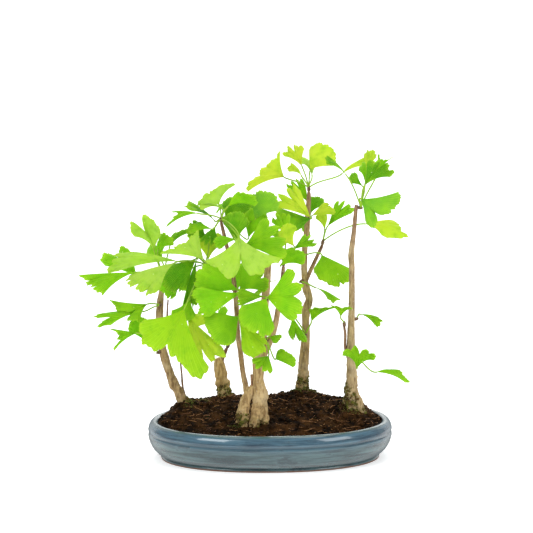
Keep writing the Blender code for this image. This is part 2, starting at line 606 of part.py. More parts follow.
def make_spray(name, parts, draw):
    """One whorl of leaves: its bud, their stalks and their blades, fused."""
    _root, bud = spur_parts(name)
    bpy.ops.mesh.primitive_ico_sphere_add(subdivisions=1, radius=BUD_RADIUS, location=bud)
    hub = bpy.context.object
    for group in list(hub.users_collection):
        group.objects.unlink(hub)
    parts.objects.link(hub)
    pieces = [as_mesh_object(hub, parts)]
    tints = []
    for spur, apex, left, right, form, arch, tint in LEAVES:
        if spur != name:
            continue
        tints.append(Vector(LEAF_TINTS[tint]))
        apex, left, right = (Vector(point) * MM for point in (apex, left, right))
        rows = blade_surface(apex, left, right, FORMS[form], arch * MM, draw)
        pieces.append(make_blade("blade", apex, rows, parts))
        points = stalk_points(bud, apex, rows)
        radii = [STALK_RADIUS] * len(points)
        pieces.append(tube("stalk", points, radii, STALK_ROUNDNESS, parts))
    colour = sum(tints, Vector((0, 0, 0))) / len(tints)
    material = new_material(f"leaf_{name}", (*colour, 1), 0.5)
    spray = fuse(f"leaves_{name}", pieces, parts, material)
    spray.data.shade_smooth()
    return spray


def main():
    clear_scene()
    parts = new_collection(OBJECT_NAME)
    cutters = new_collection("cutters")
    draw = random.Random(SEED)
    make_pot(parts, cutters)
    holes = []
    for tree in TREES:
        make_tree(tree, parts)
        holes += make_holes(tree, cutters)
    for hole in holes:
        cutters.objects.unlink(hole)
    make_soil(parts, cutters, holes)
    for name in SPURS:
        make_spray(name, parts, draw)


main()
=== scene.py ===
import math
import random

import bmesh
import bpy
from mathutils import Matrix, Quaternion, Vector, geometry, noise


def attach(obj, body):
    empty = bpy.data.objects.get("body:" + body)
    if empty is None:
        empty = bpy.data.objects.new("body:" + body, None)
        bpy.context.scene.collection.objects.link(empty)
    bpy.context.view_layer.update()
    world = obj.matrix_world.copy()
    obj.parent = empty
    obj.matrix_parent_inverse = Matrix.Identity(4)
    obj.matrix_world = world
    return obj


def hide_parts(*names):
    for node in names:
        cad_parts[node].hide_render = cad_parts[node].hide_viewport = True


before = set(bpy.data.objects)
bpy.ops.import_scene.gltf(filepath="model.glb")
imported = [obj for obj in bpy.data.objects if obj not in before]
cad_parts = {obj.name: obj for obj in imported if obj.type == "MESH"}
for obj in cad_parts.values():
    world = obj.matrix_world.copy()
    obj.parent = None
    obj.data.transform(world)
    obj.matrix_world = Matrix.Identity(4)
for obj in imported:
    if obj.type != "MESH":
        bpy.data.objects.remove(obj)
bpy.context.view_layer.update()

# The pot is one oval stoneware tray, thrown thick, with its rim rolled over and its foot left bare.
# It is dipped in a blue-grey glaze that thins to green on the rim, breaks into dark streaks round
# the belly and stops short of the brown foot.
MM = 0.001
POT_HALF_LENGTH, POT_HALF_DEPTH, POT_SQUARENESS = 130 * MM, 88 * MM, 2.15
POT_SIDES = 180
POT_STEP = 1.1 * MM
POT_OUTSIDE = (
    (14.0, 0.0), (13.4, 2.0), (14.4, 3.2), (11.6, 5.2), (6.4, 10.0), (2.4, 16.5),
    (0.2, 24.5), (0.9, 28.3), (0.2, 31.0), (1.4, 35.6), (4.2, 39.2), (7.2, 40.4),
)
POT_INSIDE = ((9.8, 39.0), (10.8, 36.0), (11.0, 30.0), (12.4, 20.0), (17.0, 11.0), (24.0, 6.0))
GLAZE_LINE_Z = 1.5 * MM
DRAIN_X, DRAIN_RADIUS, DRAIN_SIDES, DRILL_LENGTH = 55 * MM, 6 * MM, 32, 30 * MM
THROWING_RIDGE, THROWING_TURNS = 0.10 * MM, 1.9
WARP_SCALE, POT_WARP, WARP_INWARDS, STEADY_FOOT = 14, 0.5 * MM, 0.4 * MM, 8 * MM
SHARP_EDGE = math.radians(50)


class Value:
    """A shader socket that takes part in sums."""

    def __init__(self, tree, socket):
        self.tree, self.socket = tree, socket

    def maths(self, operation, *others):
        """One step of arithmetic on this value and the others."""
        return self.node("ShaderNodeMath", {"operation": operation}, self, *others)

    def node(self, kind, settings, *sockets, out=0, **named):
        """Any node: its settings first, then its sockets in order, by name, or as at6 by place."""
        made = self.tree.nodes.new(kind)
        for name, setting in settings.items():
            setattr(made, name, setting)
        given = list(enumerate(sockets)) + [(name.replace("_", " "), named[name]) for name in named]
        for key, value in given:
            socket = made.inputs[int(key[2:]) if isinstance(key, str) and key[:2] == "at" else key]
            if isinstance(value, Value):
                self.tree.links.new(value.socket, socket)
            elif value is not None:
                socket.default_value = value
        return Value(self.tree, made.outputs[out])

    def __add__(self, other):
        return self.maths("ADD", other)

    def __radd__(self, other):
        return self.maths("ADD", other)

    def __sub__(self, other):
        return self.maths("SUBTRACT", other)

    def __rsub__(self, other):
        return self.node("ShaderNodeMath", {"operation": "SUBTRACT"}, other, self)

    def __mul__(self, other):
        return self.maths("MULTIPLY", other)

    def __rmul__(self, other):
        return self.maths("MULTIPLY", other)

    def __truediv__(self, other):
        return self.maths("DIVIDE", other)

    def __pow__(self, other):
        return self.maths("POWER", other)

    def step(self, low, high):
        """0 below low, 1 above high, smooth between."""
        settings = {"interpolation_type": "SMOOTHSTEP"}
        return self.node("ShaderNodeMapRange", settings, self, low, high, 0.0, 1.0)


def mixed(share, first, second):
    """The first colour where the share is 0, the second where it is 1."""
    return share.node("ShaderNodeMix", {"data_type": "RGBA"}, share, at6=first, at7=second, out=2)


def start_material(name):
    """A new material, with its shader and a Value on its Object coordinates."""
    material = bpy.data.materials.new(name)
    material.use_nodes = True
    tree = material.node_tree
    shader = tree.nodes["Principled BSDF"]
    place = Value(tree, tree.nodes.new("ShaderNodeTexCoord").outputs["Object"])
    return material, tree, shader, place


def feed(tree, shader, **sockets):
    """Links or sets the shader's sockets."""
    for key, given in sockets.items():
        socket = shader.inputs[key.replace("_", " ")]
        if isinstance(given, Value):
            tree.links.new(given.socket, socket)
        else:
            socket.default_value = given


def stretched(place, scale):
    """The place with each axis scaled, for streaks."""
    return place.node("ShaderNodeMapping", {}, place, None, None, scale)


def grain(place, scale, detail=4.0, roughness=0.55):
    """Noise at the place, between 0 and 1."""
    """Cloudy noise, with the scale in waves to the metre."""
    return place.node("ShaderNodeTexNoise", {}, Vector=place, Scale=scale, Detail=detail, Roughness=roughness)


def bump(height, strength, distance):
    """A surface normal that follows a height."""
    """A normal that lifts the surface where the height is large."""
    return height.node("ShaderNodeBump", {}, Strength=strength, Distance=distance, Height=height)


def oval_ring(inset, height, sides):
    """Points of the pot's oval, set in from its widest outline, at a height."""
    ring = []
    power = 2 / POT_SQUARENESS
    for step in range(sides):
        turn = 2 * math.pi * step / sides
        across, away = math.cos(turn), math.sin(turn)
        x = (POT_HALF_LENGTH - inset) * math.copysign(abs(across) ** power, across)
        y = (POT_HALF_DEPTH - inset) * math.copysign(abs(away) ** power, away)
        ring.append(Vector((x, y, height)))
    return ring


def smooth_profile(points, spacing):
    """Points at an even spacing on a smooth curve through the given ones."""
    ends = [points[0] * 2 - points[1]] + list(points) + [points[-1] * 2 - points[-2]]
    found = [points[0]]
    for before, low, high, after in zip(ends, ends[1:], ends[2:], ends[3:]):
        steps = max(1, round((high - low).length / spacing))
        for step in range(1, steps + 1):
            t = step / steps
            bend = low * 2 + (high - before) * t
            bend += (before * 2 - low * 5 + high * 4 - after) * t**2
            bend += (low * 3 - before - high * 3 + after) * t**3
            found.append(bend / 2)
    return found


def add_piece(name, mesh, material):
    """A smooth object of one material, in the scene."""
    mesh.materials.clear()
    mesh.materials.append(material)
    piece = bpy.data.objects.new(name, mesh)
    bpy.context.scene.collection.objects.link(piece)
    mesh.shade_smooth()
    return piece


def glaze():
    """Streaked and pitted blue-grey glaze that stops above a bare brown foot, darkened along its outline by
    painted shade.
    """
    material, tree, shader, place = start_material("pot_glaze")
    height = place.node("ShaderNodeSeparateXYZ", {}, place, out=2)
    streaks = grain(stretched(place, (18, 18, 260)), 1.0, 5.0, 0.6)
    cloud = grain(stretched(place, (1, 1, 1.6)), 34.0, 4.0)
    fine = grain(stretched(place, (1, 1, 3)), 420.0, 3.0, 0.7)
    high = (height / MM + cloud * 8).step(22, 36)
    dark = mixed(high, (0.014, 0.036, 0.044, 1), (0.008, 0.036, 0.062, 1))
    light = mixed(high, (0.066, 0.128, 0.138, 1), (0.048, 0.128, 0.185, 1))
    body = mixed(streaks.step(0.36, 0.64), dark, light)
    body = mixed(cloud.step(0.50, 0.80) * 0.4, body, (0.130, 0.220, 0.235, 1))
    body = mixed(fine.step(0.58, 0.80) * 0.30, body, (0.200, 0.300, 0.320, 1))
    line = (streaks * 0.4 + cloud * 0.6).step(0.58, 0.62) * (1 - (height / MM).step(26, 31))
    body = mixed(line * 0.7, body, (0.008, 0.022, 0.032, 1))
    # Dark streaks in the groove under the rolled rim: partly glaze streaks, partly painted shade beneath the
    # roll.
    streaks_and_shade_under_roll = (height / MM).step(26.4, 28.0) * (1 - (height / MM).step(28.6, 30.6))
    body = mixed(streaks_and_shade_under_roll * streaks.step(0.40, 0.60) * 0.6, body, (0.008, 0.024, 0.036, 1))
    lip = (height / MM).step(37.8, 40.0)
    body = mixed(lip * 0.8, body, (0.050, 0.105, 0.105, 1))
    pits = place.node("ShaderNodeTexVoronoi", {}, Vector=place, Scale=150.0)
    pit = 1 - (pits + fine * 0.10).step(0.10, 0.16)
    body = mixed(pit * 0.7, body, (0.020, 0.030, 0.035, 1))
    wander = grain(place, 60.0) * 1.6
    bare = 1 - (height / MM + wander).step(GLAZE_LINE_Z / MM + 0.4, GLAZE_LINE_Z / MM + 1.2)
    clay = mixed(grain(place, 900.0), (0.115, 0.052, 0.032, 1), (0.230, 0.120, 0.078, 1))
    relief = (streaks * 0.5 + cloud * 0.3 + fine * 0.12) * (1 - bare) - pit * 0.4
    # Where the glaze turns away from the camera its colour darkens: painted shade along the pot's outline.
    # The same mask makes the glaze rougher there and takes its coat away.
    edge = place.node("ShaderNodeLayerWeight", {}, 0.5, out=1).step(0.45, 0.95)
    body = mixed(edge * 0.7, body, (0.010, 0.030, 0.040, 1))
    feed(
        tree, shader,
        Base_Color=mixed(bare, body, clay),
        Roughness=0.10 + bare * 0.70 + fine * 0.10 + edge * 0.45,
        Coat_Weight=(1 - bare) * (1 - edge) * 0.8,
        Coat_Roughness=0.05,
        Normal=bump(relief, 0.35, 0.0006),
    )
    return material


def fill_between(shape, rows):
    """Joins rings of equal length with quads."""
    count = len(rows[0])
    for low, high in zip(rows, rows[1:]):
        for step in range(count):
            after = (step + 1) % count
            shape.faces.new((low[step], low[after], high[after], high[step]))


def close_with_fan(shape, row):
    """Closes a ring with triangles that meet in its middle."""
    centre = shape.verts.new(sum((vert.co for vert in row), Vector()) / len(row))
    for step in range(len(row)):
        shape.faces.new((row[step], row[(step + 1) % len(row)], centre))


def close_tube(shape, rows):
    """Joins rings of equal length with quads and closes both ends."""
    fill_between(shape, rows)
    for row in (rows[0], rows[-1]):
        close_with_fan(shape, row)


def finished_mesh(name, shape):
    """The shape as a mesh of its own, facing outwards."""
    bmesh.ops.recalc_face_normals(shape, faces=shape.faces)
    mesh = bpy.data.meshes.new(name)
    shape.to_mesh(mesh)
    shape.free()
    return mesh


profile = [Vector(point) * MM for point in POT_OUTSIDE + POT_INSIDE]
shape = bmesh.new()
rows = []
for inset, height in smooth_profile(profile, POT_STEP):
    ring = oval_ring(inset, max(height, 0.0), POT_SIDES)
    thrown = THROWING_RIDGE * math.sin(height / MM * THROWING_TURNS)
    for point in ring:
        warp = noise.noise(point * WARP_SCALE) * POT_WARP
        out = Vector((point.x, point.y, 0)).normalized()
        point += out * min(0.0, warp + thrown - WARP_INWARDS) * min(1, height / STEADY_FOOT)
    rows.append([shape.verts.new(point) for point in ring])
close_tube(shape, rows)
pot = add_piece("pot_glazed", finished_mesh("pot_glazed", shape), glaze())
for side in (-1, 1):
    bpy.ops.mesh.primitive_cylinder_add(
        vertices=DRAIN_SIDES, radius=DRAIN_RADIUS, depth=DRILL_LENGTH, location=(side * DRAIN_X, 0, 0)
    )
    drill = bpy.context.object
    hole = pot.modifiers.new("Drain", "BOOLEAN")
    hole.operation, hole.object, hole.solver = "DIFFERENCE", drill, "MANIFOLD"
    bpy.context.view_layer.update()
    cut_mesh = bpy.data.meshes.new_from_object(pot.evaluated_get(bpy.context.evaluated_depsgraph_get()))
    pot.modifiers.clear()
    pot.data = cut_mesh
    bpy.data.objects.remove(drill)
pot.data.set_sharp_from_angle(angle=SHARP_EDGE)
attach(pot, "root")
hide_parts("pot")

# The soil is moist, dark peat, heaped by hand a little higher behind the middle and round each foot.
# Its surface is lumps, clods and crumbs with orange-brown fibres lying on it, and moss grows by the
# stems. One mound carries them all.
SOIL_RINGS, SOIL_EDGE, SOIL_RISE = 84, 37.9 * MM, 18.6 * MM
SOIL_PEAK_Y, SOIL_SLOPE, SOIL_LUMP = 25 * MM, 105 * MM, 1.6 * MM
SOIL_MOUNDS = ((-90, 10, 5, 16), (36, 46, 8, 22), (82, -1, 5, 14), (-48, 40, 2, 16))
SOIL_GAP, SOIL_INSET = 0.3, 11 * MM
SLOPE_POWER, LUMP_LENGTH, SMALL_LUMP_LENGTH, SMALL_LUMP_SHARE = 1.6, 11 * MM, 5 * MM, 0.6
CRUMB_HEIGHT, CRUMB_WAVE, CRUMB_MIDDLE = 3.2 * MM, 4 * MM, 0.55
PATCH_RINGS, PATCH_SKIP, PATCH_EDGE = 26, 3, 0.985

# Where moss grows on the mound: x, y and how far it spreads, in millimetres.
MOSS_SPOTS = (
    (-88, 8, 9), (36, 45, 15), (86, -6, 12), (-34, -46, 6), (-70, 22, 8), (99, -10, 5), (-46, 40, 5),
)


def soil_height(x, y):
    """The mound's height: low along the front rim, highest behind the middle, with lumps."""
    reach_x, reach_y = POT_HALF_LENGTH - SOIL_INSET, POT_HALF_DEPTH - SOIL_INSET
    out = (abs(x) / reach_x) ** 2 + (abs(y) / reach_y) ** 2
    edge = max(0.0, 1 - out**4)
    slope = max(0.0, 1 - ((y - SOIL_PEAK_Y) / SOIL_SLOPE) ** 2) ** SLOPE_POWER
    height = SOIL_EDGE + SOIL_RISE * slope * edge
    for mound_x, mound_y, rise, wide in SOIL_MOUNDS:
        away = ((x - mound_x * MM) ** 2 + (y - mound_y * MM) ** 2) / (wide * MM) ** 2
        height += rise * MM * math.exp(-away) * edge
    lump = noise.noise(Vector((x, y, 0)) / LUMP_LENGTH)
    lump += SMALL_LUMP_SHARE * noise.noise(Vector((x, y, 3)) / SMALL_LUMP_LENGTH)
    return height + SOIL_LUMP * lump * (0.4 + 0.6 * edge)


def mound_point(point, share):
    """A point on the crumbly mound, at a share of the way out to a point of its rim."""
    x, y = point.x * share, point.y * share
    rough = noise.turbulence(Vector((x, y, 5)) / CRUMB_WAVE, 4, True)
    return Vector((x, y, soil_height(x, y) + CRUMB_HEIGHT * (rough - CRUMB_MIDDLE)))


def peat():
    """Dark brown peat with paler specks, in patches down to near black that are partly painted shade for the
    gaps between crumbs.
    """
    material, tree, shader, place = start_material("soil_peat")
    patches = grain(place, 90.0, 6.0)
    fine = grain(place, 1100.0, 3.0, 0.8)
    # The near-black patch tone is partly the damp peat's own colour and partly painted shade for the gaps
    # between crumbs.
    body = mixed(patches.step(0.35, 0.70), (0.004, 0.0018, 0.0006, 1), (0.058, 0.024, 0.006, 1))
    body = mixed(fine.step(0.60, 0.72) * 0.5, body, (0.130, 0.056, 0.018, 1))
    specks = grain(place, 700.0, 1.0)
    body = mixed(specks.step(0.74, 0.78) * 0.8, body, (0.330, 0.190, 0.090, 1))
    feed(
        tree, shader, Base_Color=body, Roughness=0.82 + 0.15 * fine,
        Normal=bump(fine, 0.6, 0.0005), Specular_IOR_Level=0.08,
    )
    return material


PEAT = peat()
shape = bmesh.new()
under = [(inset + SOIL_GAP, height + SOIL_GAP) for inset, height in reversed(POT_INSIDE[1:])]
rows = [
    [shape.verts.new(point) for point in oval_ring(inset * MM, height * MM, POT_SIDES)]
    for inset, height in under
]
rim = [vert.co.copy() for vert in rows[-1]]
for ring in range(SOIL_RINGS):
    share = 1 - ring / SOIL_RINGS
    rows.append([shape.verts.new(mound_point(point, share)) for point in rim])
close_tube(shape, rows)
soil = add_piece("soil_mound", finished_mesh("soil_mound", shape), PEAT)
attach(soil, "root")
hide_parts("soil")


def strewn_source(name, mesh, masked):
    """An object to strew on, with how thickly it is strewn at each point."""
    thick = mesh.attributes.new("thick", "FLOAT", "POINT")
    for vert, value in zip(mesh.vertices, thick.data):
        value.value = masked(vert.co)
    source = bpy.data.objects.new(name, mesh)
    bpy.context.scene.collection.objects.link(source)
    return source


def soil_patch(name, masked):
    """The mound's top alone, ready to be strewn."""
    patch = bmesh.new()
    lines = []
    for ring in range(PATCH_RINGS):
        share = PATCH_EDGE - ring / (PATCH_RINGS + 1)
        lines.append([patch.verts.new(mound_point(point, share)) for point in rim[::PATCH_SKIP]])
    fill_between(patch, lines)
    close_with_fan(patch, lines[-1])
    return strewn_source(name, finished_mesh(name, patch), masked)


def strewn(name, source, settings, build):
    """Runs a node tree on the source and keeps the result as one plain mesh."""
    tree = bpy.data.node_groups.new(name, "GeometryNodeTree")
    tree.interface.new_socket("Geometry", in_out="INPUT", socket_type="NodeSocketGeometry")
    tree.interface.new_socket("Geometry", in_out="OUTPUT", socket_type="NodeSocketGeometry")
    kinds = {int: "NodeSocketInt", float: "NodeSocketFloat", bpy.types.Material: "NodeSocketMaterial"}
    inlet = tree.nodes.new("NodeGroupInput")
    outlet = tree.nodes.new("NodeGroupOutput")
    keys = {}
    for label, given in settings.items():
        socket = tree.interface.new_socket(label, in_out="INPUT", socket_type=kinds[type(given)])
        keys[label] = socket.identifier
    inputs = {socket.name: Value(tree, socket) for socket in inlet.outputs if socket.name}
    made = build(inputs)
    whole = made.node("GeometryNodeRealizeInstances", {}, made)
    painted = whole.node("GeometryNodeSetMaterial", {}, whole, Material=inputs["Material"])
    tree.links.new(painted.socket, outlet.inputs[0])
    modifier = source.modifiers.new(name, "NODES")
    modifier.node_group = tree
    for label, given in settings.items():
        modifier[keys[label]] = given
    bpy.context.view_layer.update()
    mesh = bpy.data.meshes.new_from_object(source.evaluated_get(bpy.context.evaluated_depsgraph_get()))
    source.modifiers.clear()
    bpy.data.objects.remove(source)
    piece = bpy.data.objects.new(name, mesh)
    bpy.context.scene.collection.objects.link(piece)
    mesh.shade_smooth()
    return piece


def strewn_spots(inputs):
    """Points on the ground, at the density asked for times how thickly it is strewn there."""
    ground = inputs["Geometry"]
    thick = ground.node("GeometryNodeInputNamedAttribute", {"data_type": "FLOAT"}, "thick")
    density = inputs["Density"] * thick
    return ground.node(
        "GeometryNodeDistributePointsOnFaces", {}, ground, Density=density, Seed=inputs["Seed"]
    )


def random_size(ground, smallest, largest, seed):
    """A number for each piece, drawn between two limits."""
    settings = {"data_type": "FLOAT"}
    return ground.node("FunctionNodeRandomValue", settings, out=1, at2=smallest, at3=largest, at8=seed)


def random_turn(ground, least, most, seed):
    """A turn about each axis for each piece, drawn between two limits."""
    return ground.node("FunctionNodeRandomValue", {"data_type": "FLOAT_VECTOR"}, least, most, at8=seed)


def strewn_crumbs(inputs):
    """Rough balls of many sizes, the small ones the most."""
    ground, spots = inputs["Geometry"], strewn_spots(inputs)
    ball = ground.node("GeometryNodeMeshIcoSphere", {}, 1.0, inputs["Detail"])
    size = random_size(ground, 0.0, 1.0, 3)
    radius = inputs["Smallest"] + (inputs["Largest"] - inputs["Smallest"]) * size**2.5
    turn = random_turn(ground, (0, 0, 0), (6.28, 6.28, 6.28), 5)
    lumps = spots.node("GeometryNodeInstanceOnPoints", {}, spots, Instance=ball, Rotation=turn, Scale=radius)
    lumps = lumps.node("GeometryNodeRealizeInstances", {}, lumps)
    place = ground.node("GeometryNodeInputPosition", {})
    rough = ground.node("ShaderNodeTexNoise", {}, out=1, Vector=place, Scale=420.0, Detail=1.0)
    push = rough.node("ShaderNodeVectorMath", {"operation": "SUBTRACT"}, rough, (0.5, 0.5, 0.5))
    push = push.node("ShaderNodeVectorMath", {"operation": "SCALE"}, push, Scale=inputs["Roughness"])
    return lumps.node("GeometryNodeSetPosition", {}, lumps, Offset=push)


def everywhere(point):
    """The same cover at every point."""
    return 1.0


# Each kind of crumb: pieces to the square metre, the smallest and largest radius, how finely it is
# made, how rough it is and its seed.
CRUMBS = {
    "soil_lumps": (5200.0, 1.5 * MM, 3.6 * MM, 3, 4.2 * MM, 13),
    "soil_clods": (17000.0, 0.9 * MM, 3.1 * MM, 2, 3.2 * MM, 11),
    "soil_crumbs": (190000.0, 0.35 * MM, 1.1 * MM, 1, 1.2 * MM, 12),
}
for name, (density, smallest, largest, detail, rough, seed) in CRUMBS.items():
    crumbs = strewn(
        name, soil_patch(name, everywhere),
        {"Density": density, "Smallest": smallest, "Largest": largest, "Detail": detail,
         "Roughness": rough, "Seed": seed, "Material": PEAT},
        strewn_crumbs,
    )
    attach(crumbs, "root")


def broken_cover(nearness, point, patch_size, fullness, sharpness):
    """A cover that is thickest where nearness is 1 and 0 where it is 0 or less, in broken patches."""
    broken = noise.noise(point / patch_size) + fullness
    return max(0.0, nearness) * max(0.0, min(1.0, sharpness * broken))


def near_stems(point):
    """How mossy the soil is at a point: most at the stems' feet."""
    here = Vector((point.x, point.y)) / MM
    nearness = max(
        1 - (math.hypot(here.x - x, here.y - y) / wide) ** 2 for x, y, wide in MOSS_SPOTS
    )
    return broken_cover(nearness, point, 4 * MM, 0.45, 1.6)


def strewn_moss(inputs):
    """Thin pointed blades that lean every way."""
    ground, spots = inputs["Geometry"], strewn_spots(inputs)
    blade = ground.node(
        "GeometryNodeMeshCone", {}, 3, 1, 1,
        Radius_Top=0.0, Radius_Bottom=inputs["Thickness"], Depth=inputs["Length"],
    )
    lean = random_turn(ground, (-0.9, -0.9, 0), (0.9, 0.9, 6.28), 7)
    size = random_size(ground, 0.5, 1.3, 9)
    return spots.node("GeometryNodeInstanceOnPoints", {}, spots, Instance=blade, Rotation=lean, Scale=size)


def patchy(name, first, patches, **sockets):
    """A plain colour under patches of others: each has its noise scale, two limits and a colour."""
    material, tree, shader, place = start_material(name)
    body = first
    for scale, low, high, colour in patches:
        body = mixed(grain(place, scale).step(low, high), body, colour)
    feed(tree, shader, Base_Color=body, **sockets)
    return material


MOSS = patchy(
    "moss", (0.055, 0.075, 0.010, 1),
    ((260.0, 0.35, 0.65, (0.210, 0.250, 0.030, 1)), (120.0, 0.50, 0.70, (0.080, 0.055, 0.025, 1))),
    Roughness=0.8,
)
moss = strewn(
    "moss_tufts", soil_patch("moss_tufts", near_stems),
    {"Density": 2600000.0, "Length": 2.4 * MM, "Thickness": 0.32 * MM, "Seed": 21, "Material": MOSS},
    strewn_moss,
)
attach(moss, "root")

# The fibres: pieces to the square metre, half a thread's length and its seed.
FIBRE_LIFT, FIBRE_RADIUS = 1.1 * MM, 0.17 * MM
FIBRES = (("fibres_long", 3600.0, 9.0 * MM, 31), ("fibres_short", 16000.0, 3.0 * MM, 32))


def strewn_fibres(inputs):
    """Thin arched threads that lie on the ground."""
    ground, spots = inputs["Geometry"], strewn_spots(inputs)
    arc = ground.node(
        "GeometryNodeCurveQuadraticBezier", {}, 7, (-1, 0, 0), (0.1, 0.45, 0.22), (1, 0.1, 0.05)
    )
    turn = random_turn(ground, (-0.25, -0.25, 0), (0.25, 0.25, 6.28), 4)
    size = random_size(ground, 0.25, 1.0, 6)
    lines = spots.node(
        "GeometryNodeInstanceOnPoints", {}, spots, Instance=arc, Rotation=turn, Scale=inputs["Length"] * size
    )
    lines = lines.node("GeometryNodeRealizeInstances", {}, lines)
    section = ground.node("GeometryNodeCurvePrimitiveCircle", {}, 5, Radius=inputs["Thickness"])
    lifted = lines.node("GeometryNodeSetPosition", {}, lines, Offset=(0, 0, FIBRE_LIFT))
    return lifted.node("GeometryNodeCurveToMesh", {}, lifted, section, Fill_Caps=True)


FIBRE = patchy(
    "fibre", (0.150, 0.055, 0.018, 1), ((60.0, 0.40, 0.62, (0.480, 0.230, 0.080, 1)),), Roughness=0.7
)
for name, density, length, seed in FIBRES:
    fibres = strewn(
        name, soil_patch(name, everywhere),
        {"Density": density, "Length": length, "Thickness": FIBRE_RADIUS, "Seed": seed, "Material": FIBRE},
        strewn_fibres,
    )
    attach(fibres, "root")

# The wood is five living trees. Each trunk is tan-grey bark with shallow cracks along it, swollen
# where old leaves and twigs came off, and the young shoots are thin, smooth and reddish brown.
# The trunks stand in the soil on their own roots.
BARK_SIDES, BARK_STEP = 28, 1.1 * MM
SPRIG_SIDES = 10
THICK_STEM = 2.5 * MM
BUD_RADIUS, BUD_CLEARANCE = 2.3 * MM, 0.8 * MM
SCAR_SPACING = 13 * MM
SCAR_SHARPNESS, UNEVEN_LENGTH = 14, 9 * MM
OLD_GIRTH = 8.0
STEM_UNEVEN, STEM_RIDGE, SCAR_SWELL, THINNEST_STEM = 0.09, 0.06, 0.13, 0.5 * MM
GNARL, GNARL_SIZE, GNARL_TOP, GNARL_FADE = 0.40, 6.5 * MM, 98 * MM, 30 * MM

# Each tree: stems of (x, y, z, radius) in millimetres, from the foot up.
TREES = {
    "a": (
        ((-80, 10, 18, 7.5), (-85, 10, 40, 7.5), (-90, 10, 53, 6.5), (-96.5, 10, 66, 5.4),
         (-101.5, 9, 76, 5.0), (-106.5, 8, 90, 4.4), (-111.5, 7, 106, 4.6), (-115, 7, 122, 3.9),
         (-116, 6, 136, 3.8), (-116, 6, 152, 3.9), (-115, 6, 168, 3.4), (-113, 7, 182, 2.6)),
        ((-83, 15, 40, 1.6), (-92, 17, 66, 1.3), (-94, 18, 86, 1.0), (-95, 18, 98, 0.8)),
        ((-114, 7, 124, 1.6), (-109, 9, 140, 1.2), (-108, 10, 156, 0.9), (-107, 10, 168, 0.8)),
    ),
    "b": (
        ((-48, 38, 18, 8.6), (-48, 39, 48, 8.4), (-49, 40, 58, 7.8), (-50, 40, 68, 7.0),
         (-52, 40, 78, 6.6), (-54, 40, 88, 6.3), (-55, 40, 95, 5.0), (-56, 40, 98, 3.2)),
        ((-53, 40, 86, 3.0), (-51, 40, 97, 2.2), (-48, 39, 104, 2.0), (-46, 37, 109, 1.6)),
    ),
    "c": (
        ((-18, -47, 18, 3.6), (-18, -47, 38, 4.6), (-16, -47, 48, 5.6), (-13, -46, 58, 6.9),
         (-11, -46, 69, 7.5), (-10, -45, 79, 7.4), (-12, -45, 87, 6.4), (-12, -45, 101, 5.8),
         (-11, -45, 114, 6.3), (-9, -45, 128, 5.0), (-6, -45, 150, 4.6), (-5, -45, 170, 4.2),
         (-3, -45, 190, 4.0), (-1, -45, 210, 3.4), (1, -46, 222, 2.4)),
        ((-5, -42, 18, 4.0), (-5, -42, 40, 4.6), (-7, -43, 56, 5.2), (-10, -44, 70, 5.0)),
        ((-27, -48, 18, 2.8), (-27, -48, 42, 3.2), (-26, -48, 54, 4.0), (-27, -47, 64, 5.8),
         (-25, -47, 71, 5.4), (-21, -46, 79, 5.0), (-16, -45, 86, 3.6)),
        ((-35, -40, 18, 2.4), (-34, -42, 42, 3.0), (-30, -45, 58, 4.0), (-26, -46, 69, 4.0)),
        ((-10, -45, 112, 4.4), (-3, -44, 126, 3.6), (3, -43, 139, 3.2), (8, -41, 160, 2.8),
         (11, -39, 182, 2.4), (14, -37, 200, 2.1), (15, -36, 210, 1.7)),
        ((-22, -46, 74, 4.4), (-25, -44, 86, 3.0), (-28, -42, 100, 2.7), (-30, -40, 118, 2.6),
         (-33, -40, 140, 2.6), (-34, -40, 164, 2.6), (-35, -39, 182, 2.5), (-38, -38, 206, 2.2),
         (-43, -38, 230, 2.0), (-47, -38, 248, 1.8), (-49, -39, 257, 1.6)),
        ((-35, -39, 184, 1.8), (-44, -38, 196, 1.6), (-55, -38, 205, 1.4), (-62, -40, 210, 1.2)),
        ((-18, -47, 80, 1.6), (-19, -48, 90, 1.0), (-19, -49, 99, 1.3)),
    ),
    "e": (
        ((32, 45, 18, 8.6), (32, 45, 50, 8.2), (34, 45, 61, 7.0), (36, 45, 74, 5.9),
         (36.5, 45, 88, 5.6), (38, 45, 104, 5.2), (39, 45, 122, 4.6), (39, 45, 138, 3.9),
         (40, 45, 150, 4.6), (43, 45, 161, 4.0), (40, 45, 172, 4.4), (38, 45, 184, 3.3),
         (38, 45, 206, 3.2), (39, 45, 222, 3.0), (41, 45, 238, 3.0), (42, 45, 256, 2.8),
         (43, 45, 272, 2.2), (43, 45, 277, 1.6)),
        ((40, 45, 182, 2.4), (45, 45, 193, 2.2), (51, 45, 206, 2.0), (57, 45, 219, 1.8)),
    ),
    "f": (
        ((84, -5, 18, 8.6), (85, -5, 46, 8.4), (86, -5, 58, 7.8), (86, -5, 68, 7.0),
         (87, -5, 82, 6.2), (86, -5, 104, 4.8), (86, -5, 126, 4.2), (86.5, -5, 150, 3.6),
         (87, -5, 176, 3.2), (87, -5, 204, 3.0), (86.5, -5, 218, 3.2), (89, -5, 240, 2.4),
         (91, -5, 262, 2.0), (92, -5, 270, 1.8)),
        ((102, -13, 24, 2.6), (100, -12, 40, 3.2), (96, -9, 55, 3.6), (89, -6, 74, 3.4)),
        ((84, -5, 104, 2.0), (80, -5, 118, 1.6), (80, -5, 132, 1.4), (79, -5, 140, 1.2)),
    ),
}

